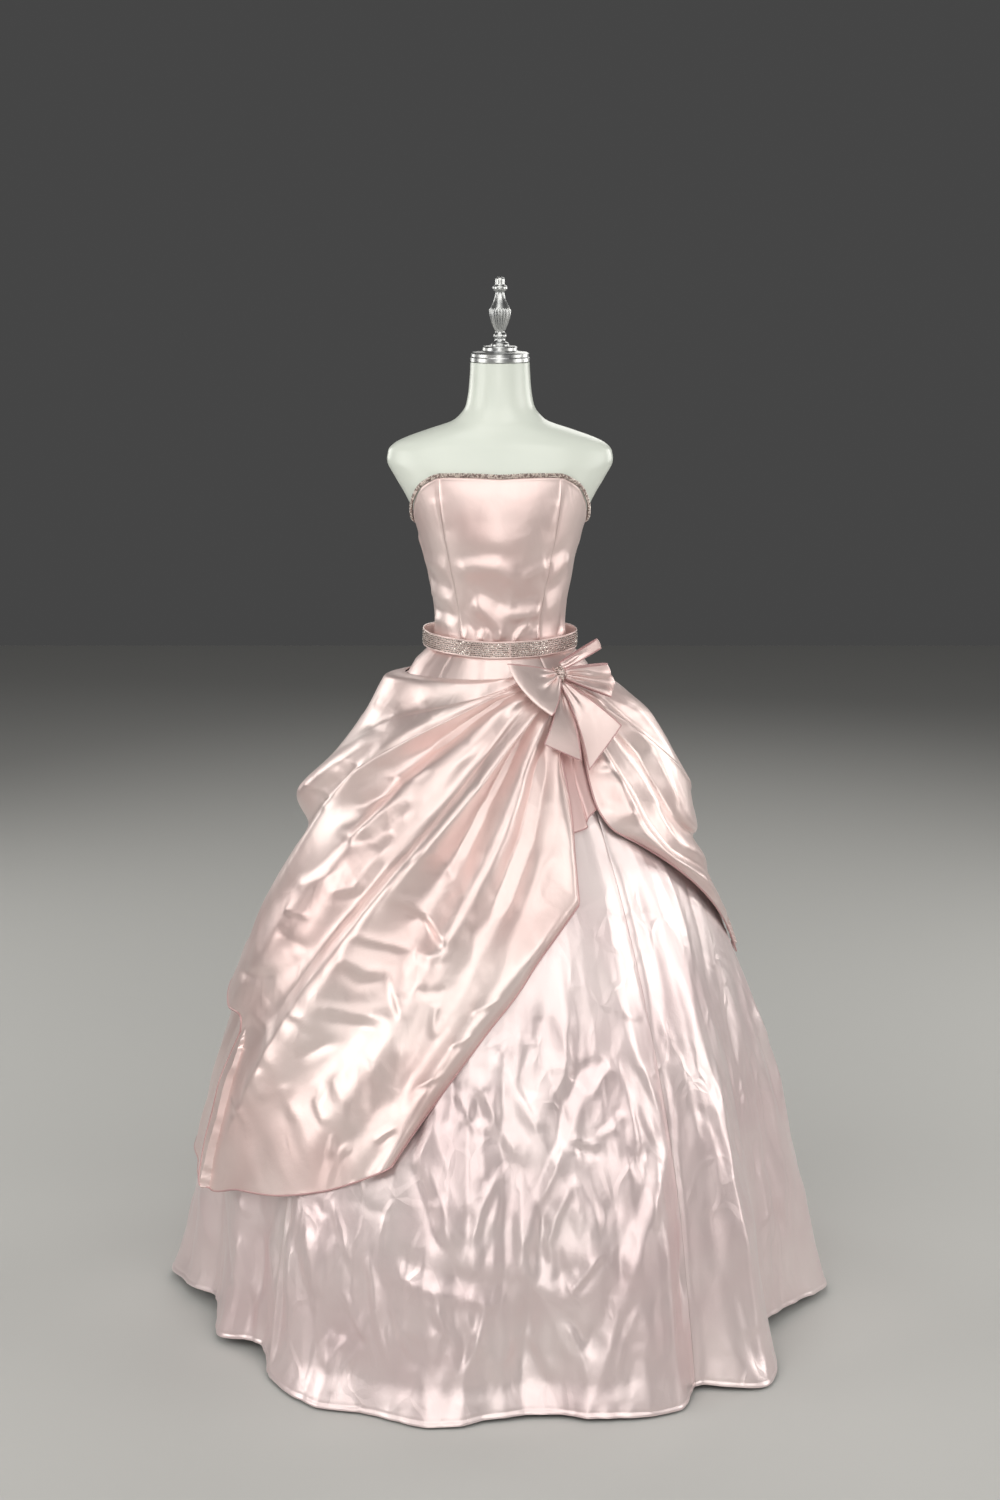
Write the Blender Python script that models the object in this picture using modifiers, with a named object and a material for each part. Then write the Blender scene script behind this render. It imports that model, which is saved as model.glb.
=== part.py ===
# A strapless satin ball gown on a limbless dress form.
# Metres, +Z up. The front faces -Y and the wearer's left side is at +X.
# The origin is on the floor, on the axis of the form's pole, under the base plate.
# Angles go round the pole in degrees: 0 is the front, +90 is +X, 180 is the back.
# The cloth is worked out as the skirt's smooth flare plus a lift off it, fold by fold.
from bisect import bisect_right
from math import atan2, cos, degrees, hypot, pi, radians, sin, tau

import bmesh
import bpy
from mathutils import Vector

# Driving sizes
SEAM_GAP = 0.0003
CLOTH = 0.0018
LAYER_GAP = 0.0009
BODICE_EASE = 0.0038
WAIST_SEAM = 1.152
MM = 0.001
MERGE = 1e-6
SHARP_ANGLE = 40

# The form's body, from the neck down: half width, depth to the front and to the back
SECTION_COLUMNS = ("height", "side", "front", "back")
BODY = (
    (1.616, 0.0484, 0.047, 0.050),
    (1.585, 0.0502, 0.048, 0.051),
    (1.548, 0.0556, 0.051, 0.055),
    (1.523, 0.0745, 0.057, 0.062),
    (1.505, 0.1240, 0.066, 0.072),
    (1.495, 0.1520, 0.071, 0.078),
    (1.485, 0.1730, 0.075, 0.082),
    (1.473, 0.1840, 0.078, 0.085),
    (1.457, 0.1865, 0.083, 0.088),
    (1.430, 0.1740, 0.092, 0.092),
    (1.400, 0.1565, 0.100, 0.094),
    (1.366, 0.1410, 0.105, 0.095),
    (1.335, 0.1310, 0.106, 0.094),
    (1.300, 0.1215, 0.102, 0.090),
    (1.262, 0.1150, 0.095, 0.084),
    (1.222, 0.1075, 0.088, 0.080),
    (1.188, 0.1050, 0.085, 0.079),
    (1.152, 0.1090, 0.088, 0.084),
    (1.100, 0.1220, 0.098, 0.097),
    (1.040, 0.1380, 0.106, 0.108),
    (0.980, 0.1480, 0.110, 0.115),
    (0.930, 0.1500, 0.110, 0.115),
)

# The skirt's smooth flare, without its folds, in the same columns
FLARE = (
    (1.1517, 0.1118, 0.0908, 0.0868),
    (1.144, 0.1240, 0.0975, 0.0945),
    (1.120, 0.1440, 0.118, 0.120),
    (1.080, 0.1660, 0.150, 0.158),
    (1.000, 0.2140, 0.205, 0.215),
    (0.900, 0.2700, 0.262, 0.280),
    (0.750, 0.3430, 0.335, 0.355),
    (0.600, 0.4050, 0.395, 0.420),
    (0.450, 0.4600, 0.445, 0.470),
    (0.300, 0.5030, 0.485, 0.510),
    (0.150, 0.5400, 0.512, 0.545),
    (0.006, 0.5740, 0.537, 0.570),
)

# The underskirt's folds: how far the hem stands out of the flare, and its height
HEM_COLUMNS = ("angle", "out_mm", "height_mm")
HEM_FOLDS = (
    (-97, 14, 14),
    (-86, -22, 22),
    (-76, -68, 30),
    (-65, -42, 12),
    (-55, -74, 22),
    (-46, -30, 8),
    (-33, 14, 5),
    (-22, 6, 4),
    (-12, 22, 4),
    (5, -20, 8),
    (16, 4, 7),
    (30, 26, 4),
    (37, -26, 10),
    (47, 34, 5),
    (66, -76, 26),
    (77, -48, 20),
    (90, 6, 12),
    (101, -34, 14),
    (113, 18, 6),
    (127, -30, 12),
    (140, 20, 6),
    (152, -26, 12),
    (166, 16, 5),
    (180, -22, 10),
    (194, 20, 5),
    (208, -30, 12),
    (222, 18, 6),
    (236, -28, 12),
    (249, 12, 7),
    (256, -18, 12),
)
FOLD_TOP = 1.02
FOLD_GROWTH = 1.7
SKIRT_ROWS = (0, 0.1, 0.2, 0.32, 0.44, 0.56, 0.68, 0.78, 0.86, 0.915, 0.95, 0.975, 0.992, 1)

# The underskirt's gores: name, from and to, in degrees
GORES = (
    ("underskirt_front", -46, 37),
    ("underskirt_side_left", 37, 127),
    ("underskirt_back_left", 127, 180),
    ("underskirt_back_right", 180, 236),
    ("underskirt_side_right", 236, 314),
)

# The bodice's panels: name, then the first seam's angle at the waist and at the top edge,
# and the second seam's
PANELS = (
    ("bodice_centre_front", -42, -52, 42, 52),
    ("bodice_side_front_left", 42, 52, 82, 84),
    ("bodice_side_back_left", 82, 84, 140, 136),
    ("bodice_back_left", 140, 136, 180, 180),
    ("bodice_back_right", 180, 180, 220, 224),
    ("bodice_side_back_right", 220, 224, 278, 276),
    ("bodice_side_front_right", 278, 276, 318, 308),
)

# The bodice's top edge: straight over the bust, then down to the underarm
TOP_EDGE = ((0, 1.434), (30, 1.436), (50, 1.435), (61, 1.421), (70, 1.396), (80, 1.371),
            (90, 1.356), (110, 1.346), (180, 1.341))

# Each drape is gathered under the bow's knot and falls along its folds. A row is a fold:
# its name, then near, middle, far and end as (angle, height in mm, lift in mm).
STATIONS = (0.0, 0.2, 0.45, 0.72, 1.0)
DRAPE_STAND_OFF = 0.012
DRAPE_GATHER = ((35, 1128, 4), (37, 1082, 10))
DRAPE_FOLDS = (
    ("tucked top", (0, 1112, 4), (-45, 1109, 5), (-95, 1103, 6), (-142, 1100, 4)),
    ("top roll", (-8, 1106, 12), (-45, 1102, 27), (-96, 1090, 37), (-145, 1070, 6)),
    ("upper hollow", (-9, 1090, 10), (-48, 1062, 18), (-92, 1030, 34), (-146, 1000, 8)),
    ("puff rim", (-10, 1086, 14), (-52, 1045, 34), (-90, 970, 44), (-144, 930, 8)),
    ("puff crest", (-12, 1078, 18), (-52, 1015, 46), (-92, 897, 72), (-140, 850, 10)),
    ("puff foot", (-13, 1072, 18), (-52, 985, 44), (-86, 842, 24), (-134, 775, 8)),
    ("edge turn", (-12, 1074, 21), (-54, 970, 50), (-82, 806, 34), (-120, 690, 20)),
    ("outer fold", (-12, 1075, 24), (-56, 955, 56), (-76, 760, 46), (-99, 580, 38)),
    ("pocket", (-6, 1070, 9), (-38, 975, 14), (-61, 800, 38), (-89, 560, 43)),
    ("inner fold", (1, 1068, 24), (-34, 945, 38), (-56, 770, 48), (-79, 547, 42)),
    ("long hollow", (6, 1056, 14), (-26, 885, 24), (-49, 700, 28), (-71, 538, 28)),
    ("pale edge", (8, 1052, 18), (-25, 875, 34), (-48, 660, 30), (-73, 440, 14)),
    ("long fold", (11, 1043, 30), (-22, 862, 50), (-49, 560, 34), (-70, 268, 12)),
    ("main hollow", (12, 1035, 8), (-15, 840, 8), (-31, 600, 14), (-57, 290, 9)),
    ("second fold", (16, 1023, 22), (-7, 820, 28), (-24, 575, 24), (-46, 308, 9)),
    ("second hollow", (20, 1008, 7), (3, 815, 8), (-16, 575, 12), (-36, 333, 8)),
    ("front fold", (25, 1000, 20), (14, 825, 22), (-8, 600, 22), (-28, 361, 9)),
    ("front edge", (27, 1000, 12), (22, 782, 12), (-3, 598, 11), (-21, 392, 8)),
)
SWAG_GATHER = ((43, 1126, 4), (41, 1084, 10))
SWAG_FOLDS = (
    ("tucked top", (60, 1112, 5), (85, 1107, 6), (115, 1103, 6), (142, 1100, 4)),
    ("top roll", (62, 1100, 10), (88, 1072, 40), (115, 1068, 34), (146, 1060, 6)),
    ("shoulder", (64, 1088, 14), (90, 1022, 60), (118, 1000, 46), (147, 975, 8)),
    ("side puff", (64, 1078, 16), (89, 925, 60), (116, 880, 44), (145, 845, 10)),
    ("side ridge", (59, 1072, 21), (73, 985, 48), (84, 850, 36), (130, 780, 10)),
    ("side hollow", (56, 1070, 12), (67, 972, 20), (76, 850, 18), (123, 735, 8)),
    ("middle ridge", (52, 1062, 22), (59, 955, 34), (70, 830, 26), (117, 700, 12)),
    ("middle hollow", (48, 1052, 12), (53, 945, 20), (64, 825, 16), (110, 665, 8)),
    ("lower ridge", (44, 1042, 24), (46, 930, 32), (57, 830, 26), (103, 632, 10)),
    ("lower edge", (39, 1020, 8), (37, 905, 10), (53, 838, 10), (96, 604, 8)),
)
FLOUNCE_GATHER = ((32, 1056, 3), (40, 1056, 3))
FLOUNCE_FOLDS = (
    ("hidden edge", (28, 1020, 2), (22, 965, 2), (19, 920, 2), (17, 878, 2)),
    ("first pleat", (32, 1018, 4), (30, 965, 6), (29, 925, 8), (29, 889, 10)),
    ("first hollow", (34, 1016, 3), (31, 965, 3), (31, 928, 3), (31, 896, 3)),
    ("second pleat", (36, 1016, 4), (33, 970, 5), (33, 935, 6), (33, 908, 8)),
    ("under the swag", (41, 1016, 3), (43, 980, 2), (44, 950, 2), (45, 930, 2)),
)

# The overskirt's back panel: where its hem hangs and how far each fold stands off
BACK_COLUMNS = ("angle", "hem_mm", "lift_mm")
BACK_FOLDS = (
    (98, 640, 4),
    (112, 560, 12),
    (126, 470, 28),
    (140, 400, 8),
    (154, 350, 48),
    (167, 318, 9),
    (180, 296, 58),
    (193, 288, 9),
    (206, 280, 50),
    (220, 274, 8),
    (234, 268, 38),
    (248, 262, 8),
    (262, 256, 26),
    (275, 252, 8),
    (288, 250, 12),
)
BACK_TOP = 1.098
BACK_FULL = 0.45
BACK_LIFT_TOP = 0.0029
BACK_EDGE = 3
BACK_HEM_CLEAR = 0.02
BACK_ROWS = (0, 0.12, 0.26, 0.4, 0.54, 0.68, 0.8, 0.88, 0.94, 0.975, 1)

# The belt: a ribbon ring that stands a little off the waist
BELT_WIDTH = 0.028
BELT_THICK = 0.0022
BELT_SIZE = (0.1290, 0.1032, 0.1030)
BELT_HEIGHTS = ((-90, 1.1640), (0, 1.1545), (90, 1.1610), (180, 1.1655), (270, 1.1640))
CORD_RADIUS = 0.0026
CORD_GAP = 0.0006

# The bow's place on the skirt. A root is measured from the knot's middle: along the
# skirt, out from it and up.
BOW_ANGLE = 40
BOW_RADIUS = 0.151
BOW_HEIGHT = 1.117
KNOT_HALF = (0.0085, 0.0100, 0.0135)
RIBBON = 0.0016
# The bow's loops: name, root, upper corner, lower corner, bulge, how far it opens
LOOPS = (
    ("bow_loop_right", (-0.0100, 0.0040, 0.001), (0.0130, -0.1520, 1.1400),
     (0.0825, -0.1840, 1.0620), 0.012, 0.011),
    ("bow_loop_left", (0.0092, 0.0040, 0.000), (0.1760, -0.0800, 1.1290),
     (0.1820, -0.0930, 1.0760), 0.006, 0.011),
    ("bow_loop_upper", (0.0050, -0.0010, 0.0132), (0.1600, -0.0560, 1.1660),
     (0.1670, -0.0500, 1.1500), 0.002, 0.004),
)
# The bow's tails: name, root, long corner, short corner
TAILS = (
    ("bow_tail_front", (0.0010, 0.0062, -0.0115), (0.1440, -0.2300, 0.9820),
     (0.1950, -0.1810, 1.0450)),
    ("bow_tail_back", (-0.0010, -0.0012, -0.0142), (0.0720, -0.2120, 1.0200),
     (0.1300, -0.2180, 0.9950)),
)
TAIL_ROOT = 0.012
LOOP_PINCH = 0.007
TAIL_LEAN = 0.010

# The form's pole, base and neck furniture
TORSO_BOTTOM = 0.930
POLE_RADIUS = 0.014
BASE_RADIUS = 0.170
BASE_THICK = 0.014
CAP_PROFILE = ((0.0, 1.6420), (0.0265, 1.6420), (0.0285, 1.6400), (0.0285, 1.6350),
               (0.0305, 1.6335), (0.0440, 1.6325), (0.0475, 1.6300), (0.0475, 1.6250),
               (0.0488, 1.6235), (0.0488, 1.6175), (0.0470, 1.6163), (0.0, 1.6163))
FINIAL_PROFILE = ((0.0, 1.7535), (0.0050, 1.7530), (0.0074, 1.7510), (0.0078, 1.7480),
                  (0.0078, 1.7410), (0.0105, 1.7398), (0.0122, 1.7375), (0.0122, 1.7345),
                  (0.0105, 1.7320), (0.0074, 1.7290), (0.0088, 1.7210), (0.0120, 1.7120),
                  (0.0160, 1.7040), (0.0180, 1.6990), (0.0176, 1.6930), (0.0145, 1.6810),
                  (0.0100, 1.6700), (0.0080, 1.6650), (0.0102, 1.6610), (0.0108, 1.6580),
                  (0.0085, 1.6540), (0.0095, 1.6500), (0.0145, 1.6465), (0.0155, 1.6440),
                  (0.0155, 1.6423), (0.0, 1.6423))

# Colours and finishes: red, green and blue, roughness, metallic
FINISHES = {
    "form_shell": ((0.80, 0.86, 0.78), 0.35, 0.0),
    "silver": ((0.75, 0.75, 0.76), 0.20, 1.0),
    "satin_pink": ((0.78, 0.60, 0.57), 0.38, 0.0),
    "satin_pale": ((0.80, 0.68, 0.69), 0.36, 0.0),
    "stone_trim": ((0.45, 0.38, 0.36), 0.25, 0.6),
    "base_grey": ((0.55, 0.56, 0.57), 0.30, 1.0),
}


# Reading the tables

def hermite(t, step, start, stop, slope_start, slope_stop):
    """The cubic between two values with the given slopes, at the share t of the step."""
    rest = 1 - t
    first = (1 + 2 * t) * rest * rest * start + t * rest * rest * step * slope_start
    return first + t * t * (3 - 2 * t) * stop - t * t * rest * step * slope_stop


def smooth_line(points):
    """A curve through (x, y) points that turns flat at each high and low and never overshoots."""
    xs = [p[0] for p in points]
    ys = [p[1] for p in points]
    steps = [b - a for a, b in zip(xs, xs[1:])]
    rises = [(b - a) / step for a, b, step in zip(ys, ys[1:], steps)]
    slopes = [rises[0]]
    for i in range(1, len(steps)):
        before, after = rises[i - 1], rises[i]
        if before * after <= 0:
            slopes.append(0.0)
            continue
        w_before = 2 * steps[i] + steps[i - 1]
        w_after = steps[i] + 2 * steps[i - 1]
        slopes.append((w_before + w_after) / (w_before / before + w_after / after))
    slopes.append(rises[-1])
    return piecewise(xs, ys, slopes)


def smooth_pass(points):
    """A curve through (x, y) points whose slope at each is that between its two neighbours."""
    xs = [p[0] for p in points]
    ys = [p[1] for p in points]
    last = len(points) - 1
    slopes = []
    for i in range(last + 1):
        a, b = max(i - 1, 0), min(i + 1, last)
        slopes.append((ys[b] - ys[a]) / (xs[b] - xs[a]))
    return piecewise(xs, ys, slopes)


def piecewise(xs, ys, slopes):
    """The function that runs through the values with the slopes."""
    last = len(xs) - 2

    def value(x):
        x = min(max(x, xs[0]), xs[-1])
        i = min(max(bisect_right(xs, x) - 1, 0), last)
        step = xs[i + 1] - xs[i]
        return hermite((x - xs[i]) / step, step, ys[i], ys[i + 1], slopes[i], slopes[i + 1])

    return value


def column(table, names, key, value, scale=1):
    """The (key, value) points of a table, ordered by key."""
    i, j = names.index(key), names.index(value)
    return sorted((row[i], row[j] * scale) for row in table)


def round_curve(points):
    """A smooth line through (angle, value) points that closes on itself after 360 degrees."""
    first, last = points[0], points[-1]
    wrapped = [(last[0] - 360, last[1])] + list(points) + [(first[0] + 360, first[1])]
    line = smooth_line(wrapped)
    low = first[0]
    return lambda angle: line((angle - low) % 360 + low)


def section(rows):
    """The radius of an oval section that changes with height, from side, front and back rows."""
    side, front, back = (smooth_line(column(rows, SECTION_COLUMNS, "height", name))
                         for name in SECTION_COLUMNS[1:])

    def radius(angle, height):
        across, along = sin(radians(angle)), cos(radians(angle))
        depth = front(height) if along > 0 else back(height)
        return 1 / hypot(across / side(height), along / depth)

    return radius


body_radius = section(BODY)
flare_radius = section(FLARE)
hem_out = round_curve(column(HEM_FOLDS, HEM_COLUMNS, "angle", "out_mm", MM))
hem_height = round_curve(column(HEM_FOLDS, HEM_COLUMNS, "angle", "height_mm", MM))
back_hem = smooth_line(column(BACK_FOLDS, BACK_COLUMNS, "angle", "hem_mm", MM))
back_lift = smooth_line(column(BACK_FOLDS, BACK_COLUMNS, "angle", "lift_mm", MM))
top_edge_half = smooth_line(TOP_EDGE)
belt_height = smooth_line(BELT_HEIGHTS)


def top_edge(angle):
    """The height of the bodice's top edge."""
    turned = abs((angle + 180) % 360 - 180)
    return top_edge_half(turned)


def around(angle, radius, height):
    """The point at this angle round the pole."""
    return Vector((radius * sin(radians(angle)), -radius * cos(radians(angle)), height))


def fold_share(height):
    """How much of the hem's folds a height has: none at the top, all at the hem."""
    depth = min(max((FOLD_TOP - height) / FOLD_TOP, 0.0), 1.0)
    return depth ** FOLD_GROWTH


def underskirt_radius(angle, height):
    """The underskirt's outer face."""
    return flare_radius(angle, height) + hem_out(angle) * fold_share(height)


def back_share(height):
    """How far down the back panel a height is: its folds are full at the share 1."""
    return min(max((BACK_TOP - height) / (BACK_TOP - BACK_FULL), 0.0), 1.0)


def back_radius(angle, height):
    """The outer face of the overskirt's back panel."""
    share = back_share(height)
    lift = BACK_LIFT_TOP * (1 - share) + back_lift(angle % 360) * share
    clear = underskirt_radius(angle, height) + CLOTH + LAYER_GAP
    return max(flare_radius(angle, height) + lift, clear)


def under_drape(angle, height):
    """The face that a drape must stay clear of."""
    turned = angle % 360
    first, last = BACK_FOLDS[0][0], BACK_FOLDS[-1][0]
    inside = first - BACK_EDGE < turned < last + BACK_EDGE
    if inside and height > back_hem(turned) - BACK_HEM_CLEAR:
        stand_off = DRAPE_STAND_OFF * back_share(height)
        return back_radius(min(max(turned, first), last), height) + stand_off
    return underskirt_radius(angle, height)


# The flat cone: folds run straight in the cloth when it is unrolled

CONE_APEX = 1.439
CONE_HALF_ANGLE = radians(21.9)


def to_flat(angle, height):
    """The place of a skirt point on the unrolled cone."""
    slant = (CONE_APEX - height) / cos(CONE_HALF_ANGLE)
    turn = radians(angle) * sin(CONE_HALF_ANGLE)
    return Vector((slant * sin(turn), slant * cos(turn)))


def from_flat(place):
    """The angle and height of a place on the unrolled cone."""
    turn = atan2(place.x, place.y)
    height = CONE_APEX - place.length * cos(CONE_HALF_ANGLE)
    return degrees(turn / sin(CONE_HALF_ANGLE)), height


def fold_path(points):
    """A smooth path through a fold's stations on the flat cone."""
    places = [to_flat(angle, height * MM) for angle, height, _ in points]
    xs = smooth_pass([(t, p.x) for t, p in zip(STATIONS, places)])
    ys = smooth_pass([(t, p.y) for t, p in zip(STATIONS, places)])
    return lambda t: Vector((xs(t), ys(t)))


def drape_surface(folds, gather):
    """A gathered drape: the point at a fold number, a share of its length and a depth."""
    count = len(folds)
    paths = []
    lifts = []
    for i, fold in enumerate(folds):
        share = i / (count - 1)
        start = tuple(a + (b - a) * share for a, b in zip(*gather))
        points = (start,) + fold[1:]
        paths.append(fold_path(points))
        lifts.append(smooth_line([(t, p[2] * MM) for t, p in zip(STATIONS, points)]))

    def point(spot, along, depth):
        places = [path(along) for path in paths]
        x = smooth_pass([(i, places[i].x) for i in range(count)])(spot)
        y = smooth_pass([(i, places[i].y) for i in range(count)])(spot)
        angle, height = from_flat(Vector((x, y)))
        lift = smooth_line([(i, lifts[i](along)) for i in range(count)])(spot)
        clear = under_drape(angle, height) + CLOTH + LAYER_GAP
        radius = max(flare_radius(angle, height) + lift, clear)
        return around(angle, radius - depth, height)

    return point


# Blender helpers

def finish(name, kind):
    """A material of the object's own, with the values of its kind."""
    colour, roughness, metallic = FINISHES[kind]
    material = bpy.data.materials.new(name + "_" + kind)
    material.use_nodes = True
    shader = material.node_tree.nodes["Principled BSDF"]
    shader.inputs["Base Color"].default_value = (*colour, 1.0)
    shader.inputs["Roughness"].default_value = roughness
    shader.inputs["Metallic"].default_value = metallic
    return material


def place(name, mesh, kind):
    """Puts a mesh in the gown's collection as a named object."""
    thing = bpy.data.objects.new(name, mesh)
    mesh.materials.append(finish(name, kind))
    gown.objects.link(thing)
    mesh.shade_smooth()
    mesh.set_sharp_from_angle(angle=radians(SHARP_ANGLE))
    return thing


def fill_in(marks, parts):
    """The marks with each gap between them cut into this many parts."""
    filled = [marks[0]]
    for a, b in zip(marks, marks[1:]):
        filled.extend(a + (b - a) * (k + 1) / parts for k in range(parts))
    return filled


def even(start, stop, parts):
    """Evenly spaced marks from start to stop."""
    return fill_in([start, stop], parts)


def grid_layer(shape, us, vs, place_at):
    """An open grid with its corners where place_at puts each (u, v)."""
    made = bmesh.ops.create_grid(shape, x_segments=len(us) - 1, y_segments=len(vs) - 1, size=0.5)
    ends = set()
    for vert in made["verts"]:
        i = round((vert.co.x + 0.5) * (len(us) - 1))
        j = round((vert.co.y + 0.5) * (len(vs) - 1))
        if i in (0, len(us) - 1):
            ends.add(vert)
        vert.co = place_at(us[i], vs[j])
    return made["verts"], ends


def wall(name, point, us, vs, kind, thick=CLOTH, closed=False):
    """A cloth wall: its outer and inner faces, joined along the open edges."""
    shape = bmesh.new()
    outer, ends = grid_layer(shape, us, vs, lambda u, v: point(u, v, 0.0))
    inner, _ = grid_layer(shape, us, vs, lambda u, v: point(u, v, thick))
    partner = dict(zip(outer, inner))
    for edge in [e for e in shape.edges if e.is_boundary and e.verts[0] in partner]:
        a, b = edge.verts
        if closed and a in ends and b in ends:
            continue
        shape.faces.new((a, b, partner[b], partner[a]))
    if closed:
        bmesh.ops.remove_doubles(shape, verts=shape.verts, dist=MERGE)
    return closed_solid(name, shape, kind)


def closed_solid(name, shape, kind):
    """Makes a closed shape into an object with its faces pointing out."""
    bmesh.ops.recalc_face_normals(shape, faces=shape.faces)
    if shape.calc_volume(signed=True) < 0:
        bmesh.ops.reverse_faces(shape, faces=shape.faces)
    mesh = bpy.data.meshes.new(name)
    shape.to_mesh(mesh)
    shape.free()
    return place(name, mesh, kind)


def ribbon(name, point, across, along):
    """A ribbon: an open sheet given its thickness about its own middle."""
    shape = bmesh.new()
    grid_layer(shape, even(0, 1, across), even(0, 1, along), point)
    bmesh.ops.recalc_face_normals(shape, faces=shape.faces)
    mesh = bpy.data.meshes.new(name)
    shape.to_mesh(mesh)
    shape.free()
    thing = place(name, mesh, "satin_pink")
    cloth = thing.modifiers.new("Wall", "SOLIDIFY")
    cloth.thickness = RIBBON
    cloth.offset = 0


def turned(name, profile, kind, steps):
    """A turned shape from a profile of (radius, height), top to bottom."""
    mesh = bpy.data.meshes.new(name)
    shape = bmesh.new()
    verts = [shape.verts.new((radius, 0.0, height)) for radius, height in profile]
    for a, b in zip(verts, verts[1:]):
        shape.edges.new((a, b))
    shape.to_mesh(mesh)
    shape.free()
    thing = place(name, mesh, kind)
    lathe = thing.modifiers.new("Lathe", "SCREW")
    lathe.steps = steps
    lathe.render_steps = steps
    lathe.use_merge_vertices = True
    lathe.merge_threshold = 0.0001
    lathe.use_smooth_shade = True
    return thing


# The form

def make_form():
    """The torso, smooth and whole, with its neck cap, finial, pole and base plate."""
    body = bmesh.new()
    columns_round = 28
    loops = []
    for height in [row[0] for row in BODY]:
        loop = []
        for k in range(columns_round):
            angle = 360 * k / columns_round
            loop.append(body.verts.new(around(angle, body_radius(angle, height), height)))
        loops.append(loop)
    for upper, lower in zip(loops, loops[1:]):
        for k in range(columns_round):
            after = (k + 1) % columns_round
            body.faces.new((upper[k], upper[after], lower[after], lower[k]))
    body.faces.new(loops[0])
    body.faces.new(loops[-1])
    closed_solid("form_torso", body, "form_shell")
    turned("form_neck_cap", CAP_PROFILE, "silver", 28)
    turned("form_finial", FINIAL_PROFILE, "silver", 16)
    pole_top = TORSO_BOTTOM - SEAM_GAP
    pole_foot = BASE_THICK + SEAM_GAP
    turned("form_pole", ((0, pole_top), (POLE_RADIUS, pole_top), (POLE_RADIUS, pole_foot),
                         (0, pole_foot)), "silver", 24)
    rim = BASE_RADIUS - 0.004
    turned("form_base", ((0, BASE_THICK), (rim, BASE_THICK), (BASE_RADIUS, BASE_THICK - 0.005),
                         (BASE_RADIUS, 0), (0, 0)), "base_grey", 36)


# The bodice

def bodice_radius(angle, height):
    """The bodice's outer face."""
    return body_radius(angle, height) + BODICE_EASE


def make_bodice():
    """Seven panels with princess, side, side back and centre back seams, and the top cord."""
    for name, from_waist, from_top, to_waist, to_top in PANELS:

        def point(across, along, depth):
            start = from_waist + (from_top - from_waist) * along
            stop = to_waist + (to_top - to_waist) * along
            angle = start + (stop - start) * across
            height = WAIST_SEAM + (top_edge(angle) - WAIST_SEAM) * along
            radius = bodice_radius(angle, height)
            inset = degrees(SEAM_GAP * 0.7 / radius) * (1 - 2 * across)
            return around(angle + inset, radius - depth, height)

        steep = "side_front" in name
        wide = round((to_top - from_top) / (6 if steep else 9))
        wall(name, point, even(0, 1, wide), even(0, 1, 9), "satin_pink")

    def cord(across, along):
        angle = 360 * across
        edge = top_edge(angle)
        radius = bodice_radius(angle, edge)
        slope = (top_edge(angle + 1) - top_edge(angle - 1)) / (radius * radians(2))
        height = edge + (CORD_RADIUS + CORD_GAP) * hypot(1, slope)
        skin = max(body_radius(angle, height + dz * CORD_RADIUS) for dz in (-1, 0, 1))
        middle = max(radius + 0.0002, skin + CORD_RADIUS + CORD_GAP)
        turn = tau * along
        return around(angle, middle + CORD_RADIUS * cos(turn), height + CORD_RADIUS * sin(turn))

    shape = bmesh.new()
    grid_layer(shape, even(0, 1, 60), even(0, 1, 6), cord)
    bmesh.ops.remove_doubles(shape, verts=shape.verts, dist=MERGE)
    closed_solid("neckline_cord", shape, "stone_trim")


def make_belt():
    """The ribbon band round the waist."""
    side, front, back = BELT_SIZE

    def point(angle, along, depth):
        reach = front if cos(radians(angle)) > 0 else back
        radius = 1 / hypot(sin(radians(angle)) / side, cos(radians(angle)) / reach)
        middle = belt_height((angle + 90) % 360 - 90)
        return around(angle, radius - depth, middle + BELT_WIDTH * (along - 0.5))

    wall("belt", point, even(0, 360, 44), [0, 1], "stone_trim", BELT_THICK, closed=True)


# The skirt

def make_underskirt():
    """Five gores whose folds deepen down to the hem."""
    crests = [row[0] % 360 for row in HEM_FOLDS]
    for name, start, stop in GORES:
        inside = sorted(a for turned in (-360, 0) for a in (c + turned for c in crests)
                        if start < a < stop)

        def point(angle, share, depth):
            low = hem_height(angle)
            height = low + (FLARE[0][0] - low) * share
            radius = underskirt_radius(angle, height)
            inset = degrees(SEAM_GAP * 0.7 / radius)
            inset *= (angle == start) - (angle == stop)
            return around(angle + inset, radius - depth, height)

        wall(name, point, fill_in([start] + inside + [stop], 2), SKIRT_ROWS, "satin_pale")


def make_overskirt():
    """The back panel, the two gathered drapes and the flounce between them."""

    def back(angle, share, depth):
        low = back_hem(angle)
        height = low + (BACK_TOP - low) * share
        return around(angle, back_radius(angle, height) - depth, height)

    wall("overskirt_back", back, fill_in([row[0] for row in BACK_FOLDS], 2), BACK_ROWS,
         "satin_pink")
    for name, folds, gather, parts, rows in (
            ("overskirt_drape_right", DRAPE_FOLDS, DRAPE_GATHER, 2, 18),
            ("overskirt_swag_left", SWAG_FOLDS, SWAG_GATHER, 3, 14),
            ("overskirt_flounce", FLOUNCE_FOLDS, FLOUNCE_GATHER, 2, 6)):
        marks = fill_in(list(range(len(folds))), parts)
        wall(name, drape_surface(folds, gather), marks, even(0, 1, rows), "satin_pink")


# The bow

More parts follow.
